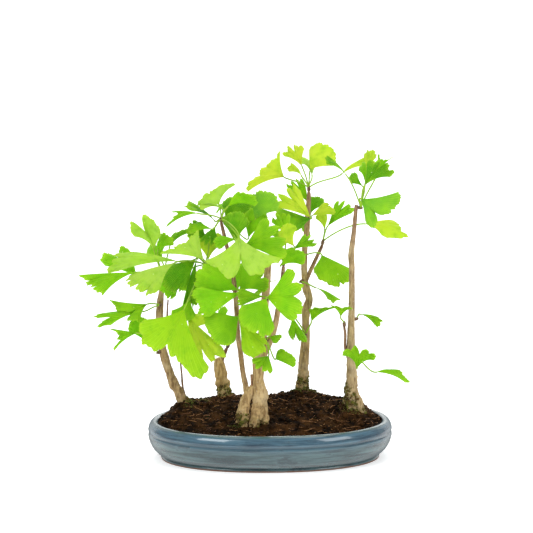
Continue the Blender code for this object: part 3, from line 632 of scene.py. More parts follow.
# Each spur's bud in millimetres, and the tree that it grows on.
SPURS = {
    "a_top": ("a", -112, 8, 188),
    "a_mid": ("a", -115, 2, 164),
    "a_low": ("a", -116, 4, 113),
    "d_side": ("c", -65, -42, 214),
    "d_top": ("c", -49, -40, 261),
    "d_mid": ("c", -35, -46, 189),
    "d_low": ("c", -32, -44, 157),
    "c_mid": ("c", -3, -50, 179),
    "c_back": ("c", -4, -38, 178),
    "c_arm": ("c", 15, -36, 214),
    "c_low": ("c", -4, -50, 135),
    "b_top": ("b", -44, 36, 113),
    "e_top": ("e", 43, 45, 281),
    "e_high": ("e", 44, 41, 250),
    "e_back": ("e", 42, 50, 246),
    "e_arm": ("e", 58, 45, 224),
    "e_knob": ("e", 36, 41, 208),
    "e_mid": ("e", 34, 40, 181),
    "e_low": ("e", 39, 38, 124),
    "f_top": ("f", 96, -5, 267),
    "f_twig": ("f", 79, -5, 144),
    "f_mid": ("f", 91, -2, 148),
    "f_low": ("f", 89, -12, 110),
}


def bark(name, pale, dim):
    """Tan bark between two tones, cracked along the stem, and reddish brown where it is young; its dim tone
    and near-black cracks are partly painted shade in the grooves.
    """
    material, tree, shader, place = start_material(name)
    girth = place.node("ShaderNodeAttribute", {"attribute_name": "girth"}, out=2)
    along = stretched(place, (420, 420, 90))
    grooves = grain(along, 1.0, 5.0, 0.6)
    patches = grain(stretched(place, (1, 1, 0.5)), 110.0, 4.0)
    fine = grain(place, 1500.0, 2.0, 0.7)
    # The dim tone lies in the grooves: partly the darker bark there, partly painted shade in them. The dim
    # patches over it are the bark's own tone.
    body = mixed(grooves.step(0.33, 0.62), dim, pale)
    body = mixed(patches.step(0.52, 0.68) * 0.45, body, dim)
    body = mixed(grain(place, 55.0).step(0.50, 0.64) * 0.35, body, (0.640, 0.520, 0.310, 1))
    # Near-black in the deepest grooves: partly the cracks' own dark colour, partly painted shade inside them.
    body = mixed((1 - grooves.step(0.22, 0.32)) * 0.75, body, (0.075, 0.048, 0.028, 1))
    height = place.node("ShaderNodeSeparateXYZ", {}, place, out=2) / MM
    foot = (1 - (height + patches * 26).step(58, 78)) * grain(place, 240.0).step(0.50, 0.62)
    body = mixed(foot * 0.6, body, (0.150, 0.135, 0.030, 1))
    shoot = 1 - girth.step(1.8, 3.5)
    young = mixed(grooves.step(0.35, 0.65), (0.130, 0.055, 0.030, 1), (0.330, 0.180, 0.105, 1))
    body = mixed(shoot * 0.85, body, young)
    dots = place.node("ShaderNodeTexVoronoi", {}, Vector=stretched(place, (1, 1, 0.6)), Scale=330.0)
    body = mixed((1 - dots.step(0.12, 0.20)) * 0.5, body, (0.560, 0.480, 0.350, 1))
    relief = grooves * 0.8 + patches * 0.3 + fine * 0.15
    feed(
        tree, shader, Base_Color=body, Roughness=0.72 + 0.2 * fine,
        Normal=bump(relief, 0.45, 0.0006), Specular_IOR_Level=0.25,
    )
    return material


def stem_points(stem):
    """A stem's points in metres, each with its radius as the fourth number."""
    return [Vector((x * MM, y * MM, z * MM, radius * MM)) for x, y, z, radius in stem]


def turned_frame(way, across):
    """Two directions square to the way, turned as little as possible from the last."""
    across = (across - way * across.dot(way)).normalized()
    return across, way.cross(across)


def grow_stem(shape, girth, stem, seed, sides, cut_top=False):
    """A closed, uneven stem along its points, ridged lengthways and swollen at its old scars."""
    centres = smooth_profile(stem_points(stem), BARK_STEP)
    across = Vector((1, 0.2, 0))
    rows, gone = [], 0.0
    for index, centre in enumerate(centres):
        after, before = centres[min(index + 1, len(centres) - 1)], centres[max(index - 1, 0)]
        way = (after - before).xyz.normalized()
        gone += (centre.xyz - before.xyz).length
        across, side = turned_frame(way, across)
        radius = max(centre.w, THINNEST_STEM)
        scar = max(0.0, math.cos(2 * math.pi * (gone / SCAR_SPACING + seed))) ** SCAR_SHARPNESS
        scar *= 0.5 + 0.5 * noise.noise(Vector((seed, gone / SCAR_SPACING, 4)))
        row = []
        for step in range(sides):
            turn = 2 * math.pi * step / sides
            out = across * math.cos(turn) + side * math.sin(turn)
            spot = Vector((math.cos(turn) * 1.6, math.sin(turn) * 1.6, gone / UNEVEN_LENGTH + seed * 7))
            ridge = noise.noise(Vector((spot.x * 2.6, spot.y * 2.6, spot.z * 0.35)))
            swell = 1 + STEM_UNEVEN * noise.noise(spot * 0.8) + STEM_RIDGE * ridge + SCAR_SWELL * scar
            spot = (centre.xyz + out * radius) / GNARL_SIZE + Vector((seed, 0, 0))
            knob = noise.noise(spot) + 0.5 * noise.noise(spot * 2.2)
            swell += GNARL * knob * max(0.0, min(1.0, (GNARL_TOP - centre.z) / GNARL_FADE))
            row.append(shape.verts.new(centre.xyz + out * radius * swell))
            girth.append(radius / MM)
        rows.append(row)
    close_tube(shape, rows)
    girth += [girth[-1], OLD_GIRTH if cut_top else girth[-1]]


def nearest_on_tree(tree, place):
    """The nearest point on a tree's stems, and the stem's radius there."""
    found = []
    for stem in TREES[tree]:
        spots = stem_points(stem)
        for low, high in zip(spots, spots[1:]):
            share = geometry.intersect_point_line(place, low.xyz, high.xyz)[1]
            found.append(low.lerp(high, min(1.0, max(0.0, share))))
    best = min(found, key=lambda spot: (place - spot.xyz).length)
    return best.xyz, best.w


def spur_parts(name):
    """Where a spur leaves its stem, and the centre of its bud, clear of the stem."""
    tree, *place = SPURS[name]
    place = Vector(place) * MM
    root, radius = nearest_on_tree(tree, place)
    way = place - root
    if way.length < 0.5 * MM:
        way = Vector((0, 0, 1))
    reach = max((place - root).length, radius + BUD_RADIUS + BUD_CLEARANCE)
    return root, root + way.normalized() * reach


# A spur's radius in millimetres at shares of its length, and the two bark tones of each tree, pale and dim,
# the dim one partly painted shade in the grooves.
SPUR_RADII = ((0, 1.4), (0.35, 1.2), (0.7, 1.6), (1, 1.5))
SPUR_GAP = 0.3 * MM
BARK_TONES = {
    "a": ((0.430, 0.296, 0.139, 1), (0.190, 0.115, 0.050, 1)),
    "b": ((0.560, 0.385, 0.150, 1), (0.290, 0.182, 0.066, 1)),
    "c": ((0.520, 0.365, 0.165, 1), (0.250, 0.155, 0.062, 1)),
    "e": ((0.480, 0.335, 0.147, 1), (0.200, 0.136, 0.058, 1)),
    "f": ((0.480, 0.355, 0.180, 1), (0.215, 0.145, 0.068, 1)),
}
for tree_name, stems in TREES.items():
    shape, girth = bmesh.new(), []
    for index, stem in enumerate(stems):
        thick = max(row[3] for row in stem) * MM > THICK_STEM
        sides = BARK_SIDES if thick else SPRIG_SIDES
        grow_stem(shape, girth, stem, ord(tree_name) * 0.37 + index, sides, index == 0)
    for name, (owner, *_place) in SPURS.items():
        if owner == tree_name:
            root, bud = spur_parts(name)
            tip = bud - (bud - root).normalized() * (BUD_RADIUS + SPUR_GAP)
            peg = [(*(root.lerp(tip, share) / MM), radius) for share, radius in SPUR_RADII]
            grow_stem(shape, girth, peg, len(name) + len(stems) - 1, SPRIG_SIDES)
    mesh = finished_mesh(f"bark_{tree_name}", shape)
    layer = mesh.attributes.new("girth", "FLOAT", "POINT")
    layer.data.foreach_set("value", girth)
    wood = add_piece(f"bark_{tree_name}", mesh, bark(f"bark_{tree_name}", *BARK_TONES[tree_name]))
    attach(wood, "root")
    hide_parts(f"wood_{tree_name}")

# Crumbs of peat and cushions of moss cling to the bark just above the soil, thickest on the two
# right-hand trunks. They are strewn over the feet of the trees.
FOOT_TOP = 100 * MM

# Where the bark is covered: x, y, z and how far the cover spreads, in millimetres.
FOOT_SPOTS = (
    (36, 45, 64, 15), (81, -6, 72, 9), (84, -8, 62, 11), (-48, 38, 60, 12), (-30, -50, 50, 9),
    (-8, -52, 44, 8), (-84, 6, 60, 9), (96, -10, 48, 8), (-20, -52, 40, 8),
)


def mossy_bark(point):
    """How thickly the bark is covered at a point: most near the foot spots."""
    nearness = max(
        1 - ((point / MM - Vector(spot)).length / wide) ** 2 for *spot, wide in FOOT_SPOTS
    )
    return broken_cover(nearness, point, 5 * MM, 0.30, 2.2)


def foot_brown():
    """Peat crumbs stained by the moss that grows between them."""
    material, tree, shader, place = start_material("foot_peat")
    body = mixed(grain(place, 700.0).step(0.35, 0.65), (0.035, 0.018, 0.006, 1), (0.190, 0.120, 0.040, 1))
    body = mixed(grain(place, 150.0).step(0.42, 0.60) * 0.8, body, (0.130, 0.145, 0.022, 1))
    feed(tree, shader, Base_Color=body, Roughness=0.9, Specular_IOR_Level=0.1)
    return material


def bark_patch(name, masked):
    """The bark of every tree near the soil, ready to be strewn."""
    patch = bmesh.new()
    for tree_name in TREES:
        patch.from_mesh(bpy.data.objects[f"bark_{tree_name}"].data)
    high = [vert for vert in patch.verts if vert.co.z > FOOT_TOP]
    bmesh.ops.delete(patch, geom=high, context="VERTS")
    return strewn_source(name, finished_mesh(name, patch), masked)


FOOT_COVER = {
    "foot_crumbs": (
        {"Density": 900000.0, "Smallest": 0.45 * MM, "Largest": 1.8 * MM, "Detail": 1,
         "Roughness": 1.6 * MM, "Seed": 41, "Material": foot_brown()}, strewn_crumbs,
    ),
    "foot_moss": (
        {"Density": 1900000.0, "Length": 2.6 * MM, "Thickness": 0.34 * MM, "Seed": 42,
         "Material": MOSS}, strewn_moss,
    ),
}
for name, (settings, build) in FOOT_COVER.items():
    cover = strewn(name, bark_patch(name, mossy_bark), settings, build)
    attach(cover, "root")

# The leaves are thin green fans, split in the middle, with cut and waved outer edges and veins that
# fork from the stalk. They stand in whorls: each leaf on its own long stalk, all the stalks of a
# whorl from one bud of brown scales at the end of a short spur.
BLADE_COLUMNS, BLADE_ROWS = 64, 14
BLADE_THICKNESS = 0.36 * MM
BLADE_WAVE, EDGE_RIPPLE = 0.05, 0.022
LOBE_ROUNDING = 1.7
BLADE_NECK = 0.68
STALK_RADIUS, STALK_SIDES, STALK_STEPS = 0.80 * MM, 8, 16
LEAF_TINTS = {
    "p": (0.360, 0.580, 0.075),
    "g": (0.150, 0.430, 0.003),
    "d": (0.055, 0.245, 0.003),
    "y": (0.490, 0.620, 0.040),
    "b": (0.120, 0.365, 0.026),
    "l": (0.240, 0.455, 0.006),
}
STALK_TINT = (0.290, 0.460, 0.050)
EDGE_CUTS, CUT_DEPTH, CUT_WIDTH = (-0.64, -0.22, 0.30, 0.60), 0.20, 0.07
EDGE_TEETH = ((5.0, 0.045), (13.0, 0.040), (29.0, 0.026))
STALK_START, STALK_BOW, STALK_END, MM_INSIDE_BLADE = 0.35, 0.12, 0.25, 2.5

# Each outline: how far the cut edge reaches, at even turns from the left corner to the right one.
FORMS = {
    "arc": (0.84, 0.98, 1.02, 0.99, 0.95, 1.00, 1.03, 0.98, 0.84),
    "full": (0.86, 1.03, 1.13, 1.18, 1.18, 1.20, 1.14, 1.03, 0.84),
    "round": (0.62, 0.86, 1.00, 1.07, 1.08, 1.07, 1.00, 0.86, 0.62),
    "sharp": (0.97, 0.95, 0.97, 0.94, 0.93, 0.97, 0.96, 0.96, 1.00),
    "cleft": (0.84, 0.99, 1.06, 1.00, 0.70, 1.00, 1.06, 0.99, 0.84),
    "split": (0.80, 0.99, 1.07, 0.96, 0.36, 0.96, 1.07, 0.99, 0.80),
    "lobed": (0.90, 1.07, 0.92, 1.14, 0.76, 1.12, 0.96, 1.08, 0.86),
    "wing": (1.00, 0.90, 0.92, 1.00, 0.52, 0.90, 0.94, 0.90, 1.00),
    "fork": (1.00, 0.95, 0.64, 0.74, 0.62, 0.66, 0.70, 0.74, 1.00),
    "crest": (1.00, 0.86, 0.76, 0.72, 0.64, 0.70, 0.78, 0.88, 1.00),
    "hand": (0.96, 1.08, 0.88, 1.16, 0.84, 1.14, 1.24, 1.16, 0.86),
    "horn": (0.85, 1.13, 1.36, 0.62, 1.46, 1.32, 1.20, 1.05, 0.80),
    "tail": (0.92, 1.04, 1.03, 0.94, 0.68, 0.83, 0.86, 1.04, 0.90),
    "offset": (0.76, 1.00, 0.88, 0.60, 0.84, 0.95, 1.00, 1.00, 0.94),
    "spear": (0.86, 1.08, 1.20, 1.28, 1.36, 1.70, 1.30, 1.10, 0.86),
}

# Each leaf: its spur, then the blade's stalk end, left corner and right corner in millimetres, its
# outline, how far its middle arches up, and its tint.
LEAVES = (
    ("a_top", (-140, -10, 201), (-176, -22, 179), (-199, -2, 196), "sharp", 4, "g"),
    ("a_top", (-139, 6, 192), (-181, 0, 210), (-146, 12, 223), "split", 4, "g"),
    ("a_top", (-121, 4, 223), (-146, 8, 238), (-111, -4, 243), "horn", 4, "p"),
    ("a_top", (-117, 8, 221), (-115, 14, 239), (-98, 2, 228), "arc", 3, "g"),
    ("a_top", (-105, 20, 223), (-102, 28, 234), (-80, 16, 240), "sharp", 3, "d"),
    ("a_top", (-113, 26, 205), (-134, 50, 211), (-104, 46, 227), "cleft", 5, "g"),
    ("a_mid", (-128, -4, 166), (-136, -12, 148), (-168, 4, 169), "wing", 4, "g"),
    ("a_mid", (-133, -4, 158), (-174, -12, 141), (-185, 2, 156), "cleft", 4, "g"),
    ("a_low", (-139, -4, 135), (-164, -12, 118), (-169, 4, 138), "fork", 3, "g"),
    ("a_low", (-133, 6, 125), (-151, 2, 137), (-127, 8, 146), "full", 3, "g"),
    ("d_side", (-94, -50, 219), (-167, -62, 207), (-153, -40, 230), "arc", 5, "p"),
    ("d_side", (-97, -58, 219), (-152, -60, 205), (-114, -76, 188), "arc", 6, "p"),
    ("d_side", (-87, -36, 205), (-117, -34, 192), (-99, -38, 176), "arc", 4, "g"),
    ("d_side", (-75, -42, 221), (-112, -48, 213), (-89, -52, 180), "round", 5, "d"),
    ("d_side", (-74, -54, 222), (-93, -72, 163), (-68, -46, 185), "arc", 4, "d"),
    ("d_side", (-87, -80, 175), (-132, -86, 164), (-59, -94, 110), "tail", 7, "l"),
    ("d_side", (-85, -60, 164), (-87, -74, 128), (-44, -62, 126), "lobed", 5, "y"),
    ("d_side", (-67, -58, 222), (-112, -64, 229), (-72, -54, 253), "crest", 4, "p"),
    ("d_side", (-63, -34, 218), (-76, -24, 234), (-44, -30, 237), "full", 3, "y"),
    ("d_side", (-71, -22, 203), (-96, -2, 185), (-71, -4, 169), "cleft", 4, "g"),
    ("d_top", (-55, -45, 255), (-72, -47, 241), (-51, -43, 237), "lobed", 4, "d"),
    ("d_top", (-59, -47, 252), (-81, -42, 245), (-73, -34, 258), "full", 3, "g"),
    ("d_top", (-73, -44, 268), (-106, -58, 256), (-100, -32, 267), "fork", 3, "g"),
    ("d_top", (-56, -30, 258), (-85, -44, 271), (-79, -10, 273), "arc", 3, "d"),
    ("d_top", (-48, -34, 271), (-71, -44, 272), (-66, -24, 276), "arc", 3, "p"),
    ("d_top", (-51, -40, 276), (-74, -34, 274), (-33, -40, 297), "crest", 4, "p"),
    ("d_top", (-42, -52, 276), (-33, -60, 292), (-9, -52, 277), "arc", 4, "g"),
    ("d_top", (-14, -42, 261), (-20, -38, 285), (13, -46, 272), "full", 4, "b"),
    ("d_top", (-45, -27, 256), (-49, -16, 275), (-14, -26, 262), "full", 4, "d"),
    ("d_top", (-25, -18, 255), (-35, -12, 270), (-6, -12, 259), "arc", 4, "d"),
    ("d_top", (-30, -76, 248), (-66, -82, 225), (13, -82, 227), "wing", 6, "p"),
    ("d_top", (-33, -58, 243), (-51, -60, 232), (-51, -54, 247), "full", 3, "g"),
    ("d_top", (-25, -56, 236), (-8, -58, 264), (15, -66, 221), "lobed", 4, "g"),
    ("d_top", (-33, -46, 239), (-49, -40, 259), (-18, -46, 260), "full", 4, "d"),
    ("d_top", (-21, -38, 241), (-26, -32, 266), (1, -42, 259), "full", 4, "g"),
    ("d_side", (-64, -34, 238), (-84, -32, 239), (-69, -22, 257), "full", 3, "d"),
    ("d_side", (-82, -64, 182), (-104, -70, 169), (-75, -64, 163), "arc", 3, "g"),
    ("d_top", (-39, -16, 263), (-58, 14, 260), (-31, 10, 274), "cleft", 5, "g"),
    ("c_arm", (18, -34, 239), (2, -38, 259), (23, -28, 262), "lobed", 3, "g"),
    ("c_arm", (26, -50, 234), (9, -58, 240), (29, -50, 256), "full", 3, "y"),
    ("c_arm", (25, -28, 227), (36, -24, 242), (49, -28, 230), "lobed", 3, "g"),
    ("c_arm", (12, -46, 213), (16, -52, 231), (38, -50, 215), "full", 3, "g"),
    ("c_arm", (8, -30, 227), (-7, -34, 230), (-1, -30, 246), "arc", 3, "d"),
    ("c_arm", (14, -10, 226), (-1, 6, 240), (24, 8, 242), "cleft", 4, "g"),
    ("c_mid", (-2, -70, 184), (20, -76, 217), (19, -84, 162), "hand", 6, "g"),
    ("c_mid", (-3, -74, 184), (-33, -86, 177), (7, -92, 151), "full", 5, "g"),
    ("c_mid", (-6, -62, 184), (-32, -74, 175), (-31, -70, 195), "arc", 3, "g"),
    ("c_back", (-7, -34, 185), (-20, -14, 167), (9, -12, 194), "cleft", 4, "g"),
    ("c_back", (-14, -30, 197), (-37, -14, 180), (-37, -8, 211), "full", 4, "g"),
    ("c_low", (-1, -60, 121), (-19, -66, 119), (4, -70, 106), "lobed", 3, "g"),
    ("c_low", (6, -54, 116), (8, -54, 126), (28, -60, 107), "arc", 4, "g"),
    ("c_low", (-1, -46, 138), (5, -50, 131), (13, -44, 141), "arc", 2, "g"),
    ("d_mid", (-32, -58, 190), (-72, -66, 186), (-56, -60, 221), "full", 4, "g"),
    ("d_mid", (-29, -64, 188), (-66, -76, 162), (-78, -74, 198), "arc", 4, "g"),
    ("d_mid", (-31, -50, 188), (-33, -50, 218), (0, -54, 186), "arc", 4, "g"),
    ("d_low", (-31, -64, 159), (-28, -78, 127), (-1, -76, 141), "full", 5, "l"),
    ("d_low", (-32, -58, 162), (-65, -66, 171), (-36, -72, 135), "full", 5, "g"),
    ("b_top", (-60, 16, 140), (-82, 8, 137), (-73, 18, 152), "full", 3, "y"),
    ("b_top", (-49, 30, 129), (-66, 40, 141), (-43, 44, 153), "cleft", 4, "g"),
    ("e_top", (17, 38, 294), (-23, 34, 278), (13, 44, 321), "fork", 5, "y"),
    ("e_top", (36, 60, 303), (15, 66, 314), (39, 70, 322), "lobed", 3, "y"),
    ("e_top", (45, 46, 301), (43, 48, 325), (74, 36, 307), "full", 5, "y"),
    ("e_top", (35, 34, 296), (19, 26, 302), (26, 36, 310), "arc", 3, "y"),
    ("e_top", (78, 46, 296), (100, 54, 312), (116, 42, 306), "arc", 4, "y"),
    ("e_top", (47, 70, 292), (31, 96, 302), (64, 94, 305), "split", 5, "p"),
    ("e_high", (44, 22, 253), (7, 12, 266), (32, 20, 287), "lobed", 5, "y"),
    ("e_high", (45, 32, 250), (7, 26, 265), (32, 22, 239), "full", 4, "d"),
    ("e_high", (46, 34, 253), (59, 34, 268), (72, 28, 255), "arc", 3, "y"),
    ("e_back", (43, 50, 264), (19, 48, 282), (38, 54, 288), "lobed", 3, "g"),
    ("e_back", (45, 56, 252), (40, 64, 264), (62, 58, 261), "full", 3, "d"),
    ("e_back", (39, 62, 241), (22, 84, 233), (47, 86, 222), "cleft", 4, "g"),
    ("e_arm", (63, 45, 240), (71, 46, 266), (92, 42, 256), "lobed", 4, "g"),
    ("e_arm", (60, 54, 235), (49, 56, 248), (64, 60, 249), "full", 3, "y"),
    ("e_arm", (103, 40, 243), (134, 46, 247), (123, 32, 229), "spear", 4, "y"),
    ("e_knob", (56, 22, 213), (46, 12, 198), (93, 16, 195), "full", 6, "g"),
    ("e_mid", (49, 32, 176), (64, 22, 162), (76, 44, 162), "arc", 2, "g"),
    ("e_low", (45, 30, 139), (42, 24, 154), (76, 30, 154), "crest", 4, "g"),
    ("e_low", (24, 28, 146), (19, 20, 127), (43, 22, 120), "cleft", 3, "g"),
    ("f_top", (100, -16, 292), (102, -24, 318), (131, -20, 303), "lobed", 4, "d"),
    ("f_top", (99, 6, 288), (86, 12, 291), (93, 14, 302), "full", 2, "d"),
    ("f_top", (114, 0, 303), (115, 8, 322), (131, 2, 320), "fork", 2, "g"),
    ("f_top", (104, 14, 303), (100, 20, 320), (115, 16, 319), "full", 2, "y"),
    ("f_top", (81, -16, 303), (58, -26, 319), (63, -6, 320), "arc", 2, "d"),
    ("f_top", (96, -22, 279), (102, -30, 249), (137, -30, 288), "offset", 5, "b"),
    ("f_top", (102, 16, 290), (94, 30, 305), (123, 28, 306), "split", 4, "g"),
    ("f_twig", (75, -12, 152), (64, -20, 165), (88, -17, 162), "crest", 3, "g"),
    ("f_mid", (96, 4, 152), (114, 12, 136), (119, -4, 149), "arc", 2, "g"),
    ("f_low", (92, -24, 100), (75, -30, 116), (112, -32, 110), "lobed", 4, "g"),
    ("f_low", (113, 0, 90), (149, -8, 77), (132, 10, 91), "arc", 3, "g"),
)


def leaf_green():
    """Radial veins that fork on their way out, on each leaf's own green, lighter towards the edge partly by a
    painted highlight.
    """
    material, tree, shader, place = start_material("leaf")
    fan = place.node("ShaderNodeUVMap", {"uv_map": "fan"})
    share = fan.node("ShaderNodeSeparateXYZ", {}, fan, out=0)
    out = fan.node("ShaderNodeSeparateXYZ", {}, fan, out=1)
    tint = place.node("ShaderNodeAttribute", {"attribute_name": "tint"}, out=0)
    wander = grain(place, 90.0, 2.0) * 0.012
    veins = None
    for count, start in ((22, 0.02), (44, 0.34), (88, 0.66)):
        wave = ((share + wander) * (count * 2 * math.pi)).maths("COSINE")
        line = wave.step(0.55, 1.0) * out.step(start, start + 0.12)
        veins = line if veins is None else veins.maths("MAXIMUM", line)
    mottle = grain(place, 130.0, 5.0)
    blotch = grain(place, 45.0, 2.0)
    light = mixed(0.40 * blotch.step(0.40, 0.70), tint, (0.340, 0.620, 0.010, 1))
    # Lighter towards the cut edge: partly the blade's own paler margin, partly a painted highlight along
    # every edge.
    body = mixed(out.step(0.84, 1.02) * 0.35, light, (0.400, 0.660, 0.030, 1))
    body = mixed(mottle.step(0.45, 0.75) * 0.35, body, (0.030, 0.270, 0.004, 1))
    body = mixed(veins * 0.42, body, (0.420, 0.700, 0.045, 1))
    specks = place.node("ShaderNodeTexVoronoi", {}, Vector=place, Scale=95.0)
    body = mixed((1 - specks.step(0.04, 0.08)) * 0.6, body, (0.600, 0.740, 0.260, 1))
    feed(
        tree, shader, Base_Color=body, Roughness=0.50 + mottle * 0.2,
        Normal=bump(veins * 0.8 + mottle * 0.5, 0.45, 0.0005),
        Subsurface_Weight=0.35, Subsurface_Scale=0.0018, Subsurface_Radius=(0.8, 1.0, 0.2),
        Specular_IOR_Level=0.07,
    )
    return material


def outline_reach(form, share):
    """How far an outline reaches at a share of its turn: round lobes with narrow cuts between."""
    place = share * (len(form) - 1)
    step = min(int(place), len(form) - 2)
    here, after, t = form[step], form[step + 1], place - step
    ease = 1 - (1 - t) ** LOBE_ROUNDING if here < after else t**LOBE_ROUNDING
    return here + (after - here) * ease


def blade_rows(apex, left, right, form, arch, seed):
    """Rows of points from the stalk's end out to the cut edge, each from left to right."""
    to_left, to_right = left - apex, right - apex
    spread = to_left.angle(to_right)
    normal = to_left.cross(to_right).normalized()
    if normal.z < 0:
        normal.negate()
    reach = (to_left.length + to_right.length) / 2
    turn = seed * 2.4
    rows = []
    for row in range(1, BLADE_ROWS + 1):
        out = row / BLADE_ROWS
        line = []
        for column in range(BLADE_COLUMNS + 1):
            share = column / BLADE_COLUMNS
            side = 2 * share - 1
            turned = 0.5 + side / 2 * (BLADE_NECK + (1 - BLADE_NECK) * out)
            way = (
                to_left.normalized() * math.sin((1 - turned) * spread)
                + to_right.normalized() * math.sin(turned * spread)
            ) / math.sin(spread)
            length = to_left.length * (1 - share) + to_right.length * share
            cuts = 0.0
            for place in EDGE_CUTS:
                deep = max(0.0, noise.noise(Vector((seed * 1.7, place * 9, 1))) + 0.15)
                cuts += CUT_DEPTH * deep * max(0.0, 1 - abs(side - place) / CUT_WIDTH)
            tooth = sum(
                much * noise.noise(Vector((side * often, seed * 1.3, often)))
                for often, much in EDGE_TEETH
            )
            edge = outline_reach(form, share) * (1 + (tooth - cuts) * out**2)
            lift = arch * (4 * out * (1 - out) + 0.5 * out * (1 - side * side))
            lift += BLADE_WAVE * reach * out * out * math.sin(5 * side + turn)
            lift += EDGE_RIPPLE * reach * out**4 * math.sin(15 * side + turn * 3)
            line.append(apex + way * length * edge * out + normal * lift)
        rows.append(line)
    return rows


def stalk_points(bud, apex, rows):
    """A stalk that leaves the bud, bows upwards and runs on into the blade."""
    middle = rows[3][len(rows[0]) // 2] - apex
    reach = (apex - bud).length
    start = bud + (apex - bud) * STALK_START + Vector((0, 0, STALK_BOW * reach))
    end = apex - middle.normalized() * STALK_END * reach
    points = geometry.interpolate_bezier(bud, start, end, apex, STALK_STEPS)
    return list(points) + [apex + middle.normalized() * MM_INSIDE_BLADE * MM]


def blade_normals(rows):
    """The way that the blade faces at each of its points."""
    normals = []
    for row in range(BLADE_ROWS + 1):
        across = rows[max(row, 1)]
        line = []
        for column in range(BLADE_COLUMNS + 1):
            low, high = rows[max(row - 1, 0)][column], rows[min(row + 1, BLADE_ROWS)][column]
            near, far = across[max(column - 1, 0)], across[min(column + 1, BLADE_COLUMNS)]
            line.append((high - low).cross(far - near).normalized())
        normals.append(line)
    return normals


def blade_sheet(shape, rows, normals, way):
    """The points of one side of a blade, half its thickness from the middle."""
    pole = sum(normals[1], Vector()).normalized()
    tip = shape.verts.new(rows[0][0] + pole * way * BLADE_THICKNESS / 2)
    grid = [[tip] * (BLADE_COLUMNS + 1)]
    for row in range(1, BLADE_ROWS + 1):
        thin = BLADE_THICKNESS * (0.5 if row < BLADE_ROWS else 0.3)
        grid.append([
            shape.verts.new(point + normal * way * thin)
            for point, normal in zip(rows[row], normals[row])
        ])
    return grid


def sheet_faces(shape, grid, way):
    """The faces of one side, each with the fan places of its corners."""
    faces = []
    for row in range(BLADE_ROWS):
        for column in range(BLADE_COLUMNS):
            low, high = grid[row], grid[row + 1]
            corners = [low[column], high[column], high[column + 1], low[column + 1]]
            places = [(column, row), (column, row + 1), (column + 1, row + 1), (column + 1, row)]
            if row == 0:
                corners, places = corners[:3], [(column + 0.5, 0)] + places[1:3]
            if way > 0:
                corners, places = corners[::-1], places[::-1]
            faces.append((shape.faces.new(corners), places))
    return faces


def border_faces(shape, top, bottom):
    """The thin edge between the two sides, from the stalk's end round the cut edge and back."""
    border = [(row, 0) for row in range(BLADE_ROWS + 1)]
    border += [(BLADE_ROWS, column) for column in range(1, BLADE_COLUMNS + 1)]
    border += [(row, BLADE_COLUMNS) for row in range(BLADE_ROWS - 1, -1, -1)]
    faces = []
    for (row, column), (next_row, next_column) in zip(border, border[1:]):
        corners = [top[row][column], top[next_row][next_column],
                   bottom[next_row][next_column], bottom[row][column]]
        faces.append((shape.faces.new(corners), [(column, row)] * len(corners)))
    return faces


def grow_stalk(shape, tint_layer, points):
    """A thin round stalk, a little thicker at the bud and thinner inside the blade."""
    across, rings = Vector((0.3, 1, 0.2)), []
    for index, point in enumerate(points):
        way = (points[min(index + 1, len(points) - 1)] - points[max(index - 1, 0)]).normalized()
        across, side = turned_frame(way, across)
        radius = STALK_RADIUS * (1.25 if index == 0 else 0.5 if index == len(points) - 1 else 1)
        ring = []
        for step in range(STALK_SIDES):
            turn = 2 * math.pi * step / STALK_SIDES
            ring.append(shape.verts.new(point + (across * math.cos(turn) + side * math.sin(turn)) * radius))
            ring[-1][tint_layer] = (*STALK_TINT, 1)
        rings.append(ring)
    fill_between(shape, rings)
    shape.faces.new(rings[0])
    shape.faces.new(rings[-1][::-1])


def grow_leaf(shape, fan, tint_layer, tint, leaf, bud, seed):
    """One blade, thick enough to hold together, with its stalk."""
    apex, left, right, form, arch = leaf
    rows = [[apex] * (BLADE_COLUMNS + 1)]
    rows += blade_rows(apex, left, right, FORMS[form], arch * MM, seed)
    normals = blade_normals(rows)
    top, bottom = (blade_sheet(shape, rows, normals, way) for way in (1, -1))
    faces = sheet_faces(shape, top, 1) + sheet_faces(shape, bottom, -1) + border_faces(shape, top, bottom)
    for face, places in faces:
        for loop, (column, row) in zip(face.loops, places):
            loop[fan].uv = (column / BLADE_COLUMNS, row / BLADE_ROWS)
            loop.vert[tint_layer] = (*tint, 1)
    grow_stalk(shape, tint_layer, stalk_points(bud, apex, rows))


LEAF = leaf_green()
seed = 0
for name in SPURS:
    _root, bud = spur_parts(name)
    shape = bmesh.new()
    fan = shape.loops.layers.uv.new("fan")
    tint_layer = shape.verts.layers.float_color.new("tint")
    draw = random.Random(name)
    for spur, apex, left, right, form, arch, tint in LEAVES:
        if spur != name:
            continue
        seed += 1
        shade = draw.uniform(0.88, 1.12)
        colour = [min(1.0, part * shade * draw.uniform(0.95, 1.05)) for part in LEAF_TINTS[tint]]
        leaf = (*(Vector(point) * MM for point in (apex, left, right)), form, arch)
        grow_leaf(shape, fan, tint_layer, colour, leaf, bud, seed)
    spray = add_piece(f"spray_{name}", finished_mesh(f"spray_{name}", shape), LEAF)
    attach(spray, "root")
    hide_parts(f"leaves_{name}")

# Each bud is a stub of brown scales that lap over each other round the foot of the stalks. It grows
# on the end of its spur.
BUD_TURNS, BUD_ROWS = 24, 12
BUD_LENGTH, BUD_BELOW, BUD_TAPER = 2.3, 1.45, 0.35
SCALES_ROUND, SCALE_ROWS, SCALE_LAP = 5, 4, 0.16
BUD_SCALES = patchy(
    "bud_scales", (0.060, 0.030, 0.014, 1), ((700.0, 0.35, 0.65, (0.230, 0.130, 0.060, 1)),),
    Roughness=0.6,
)

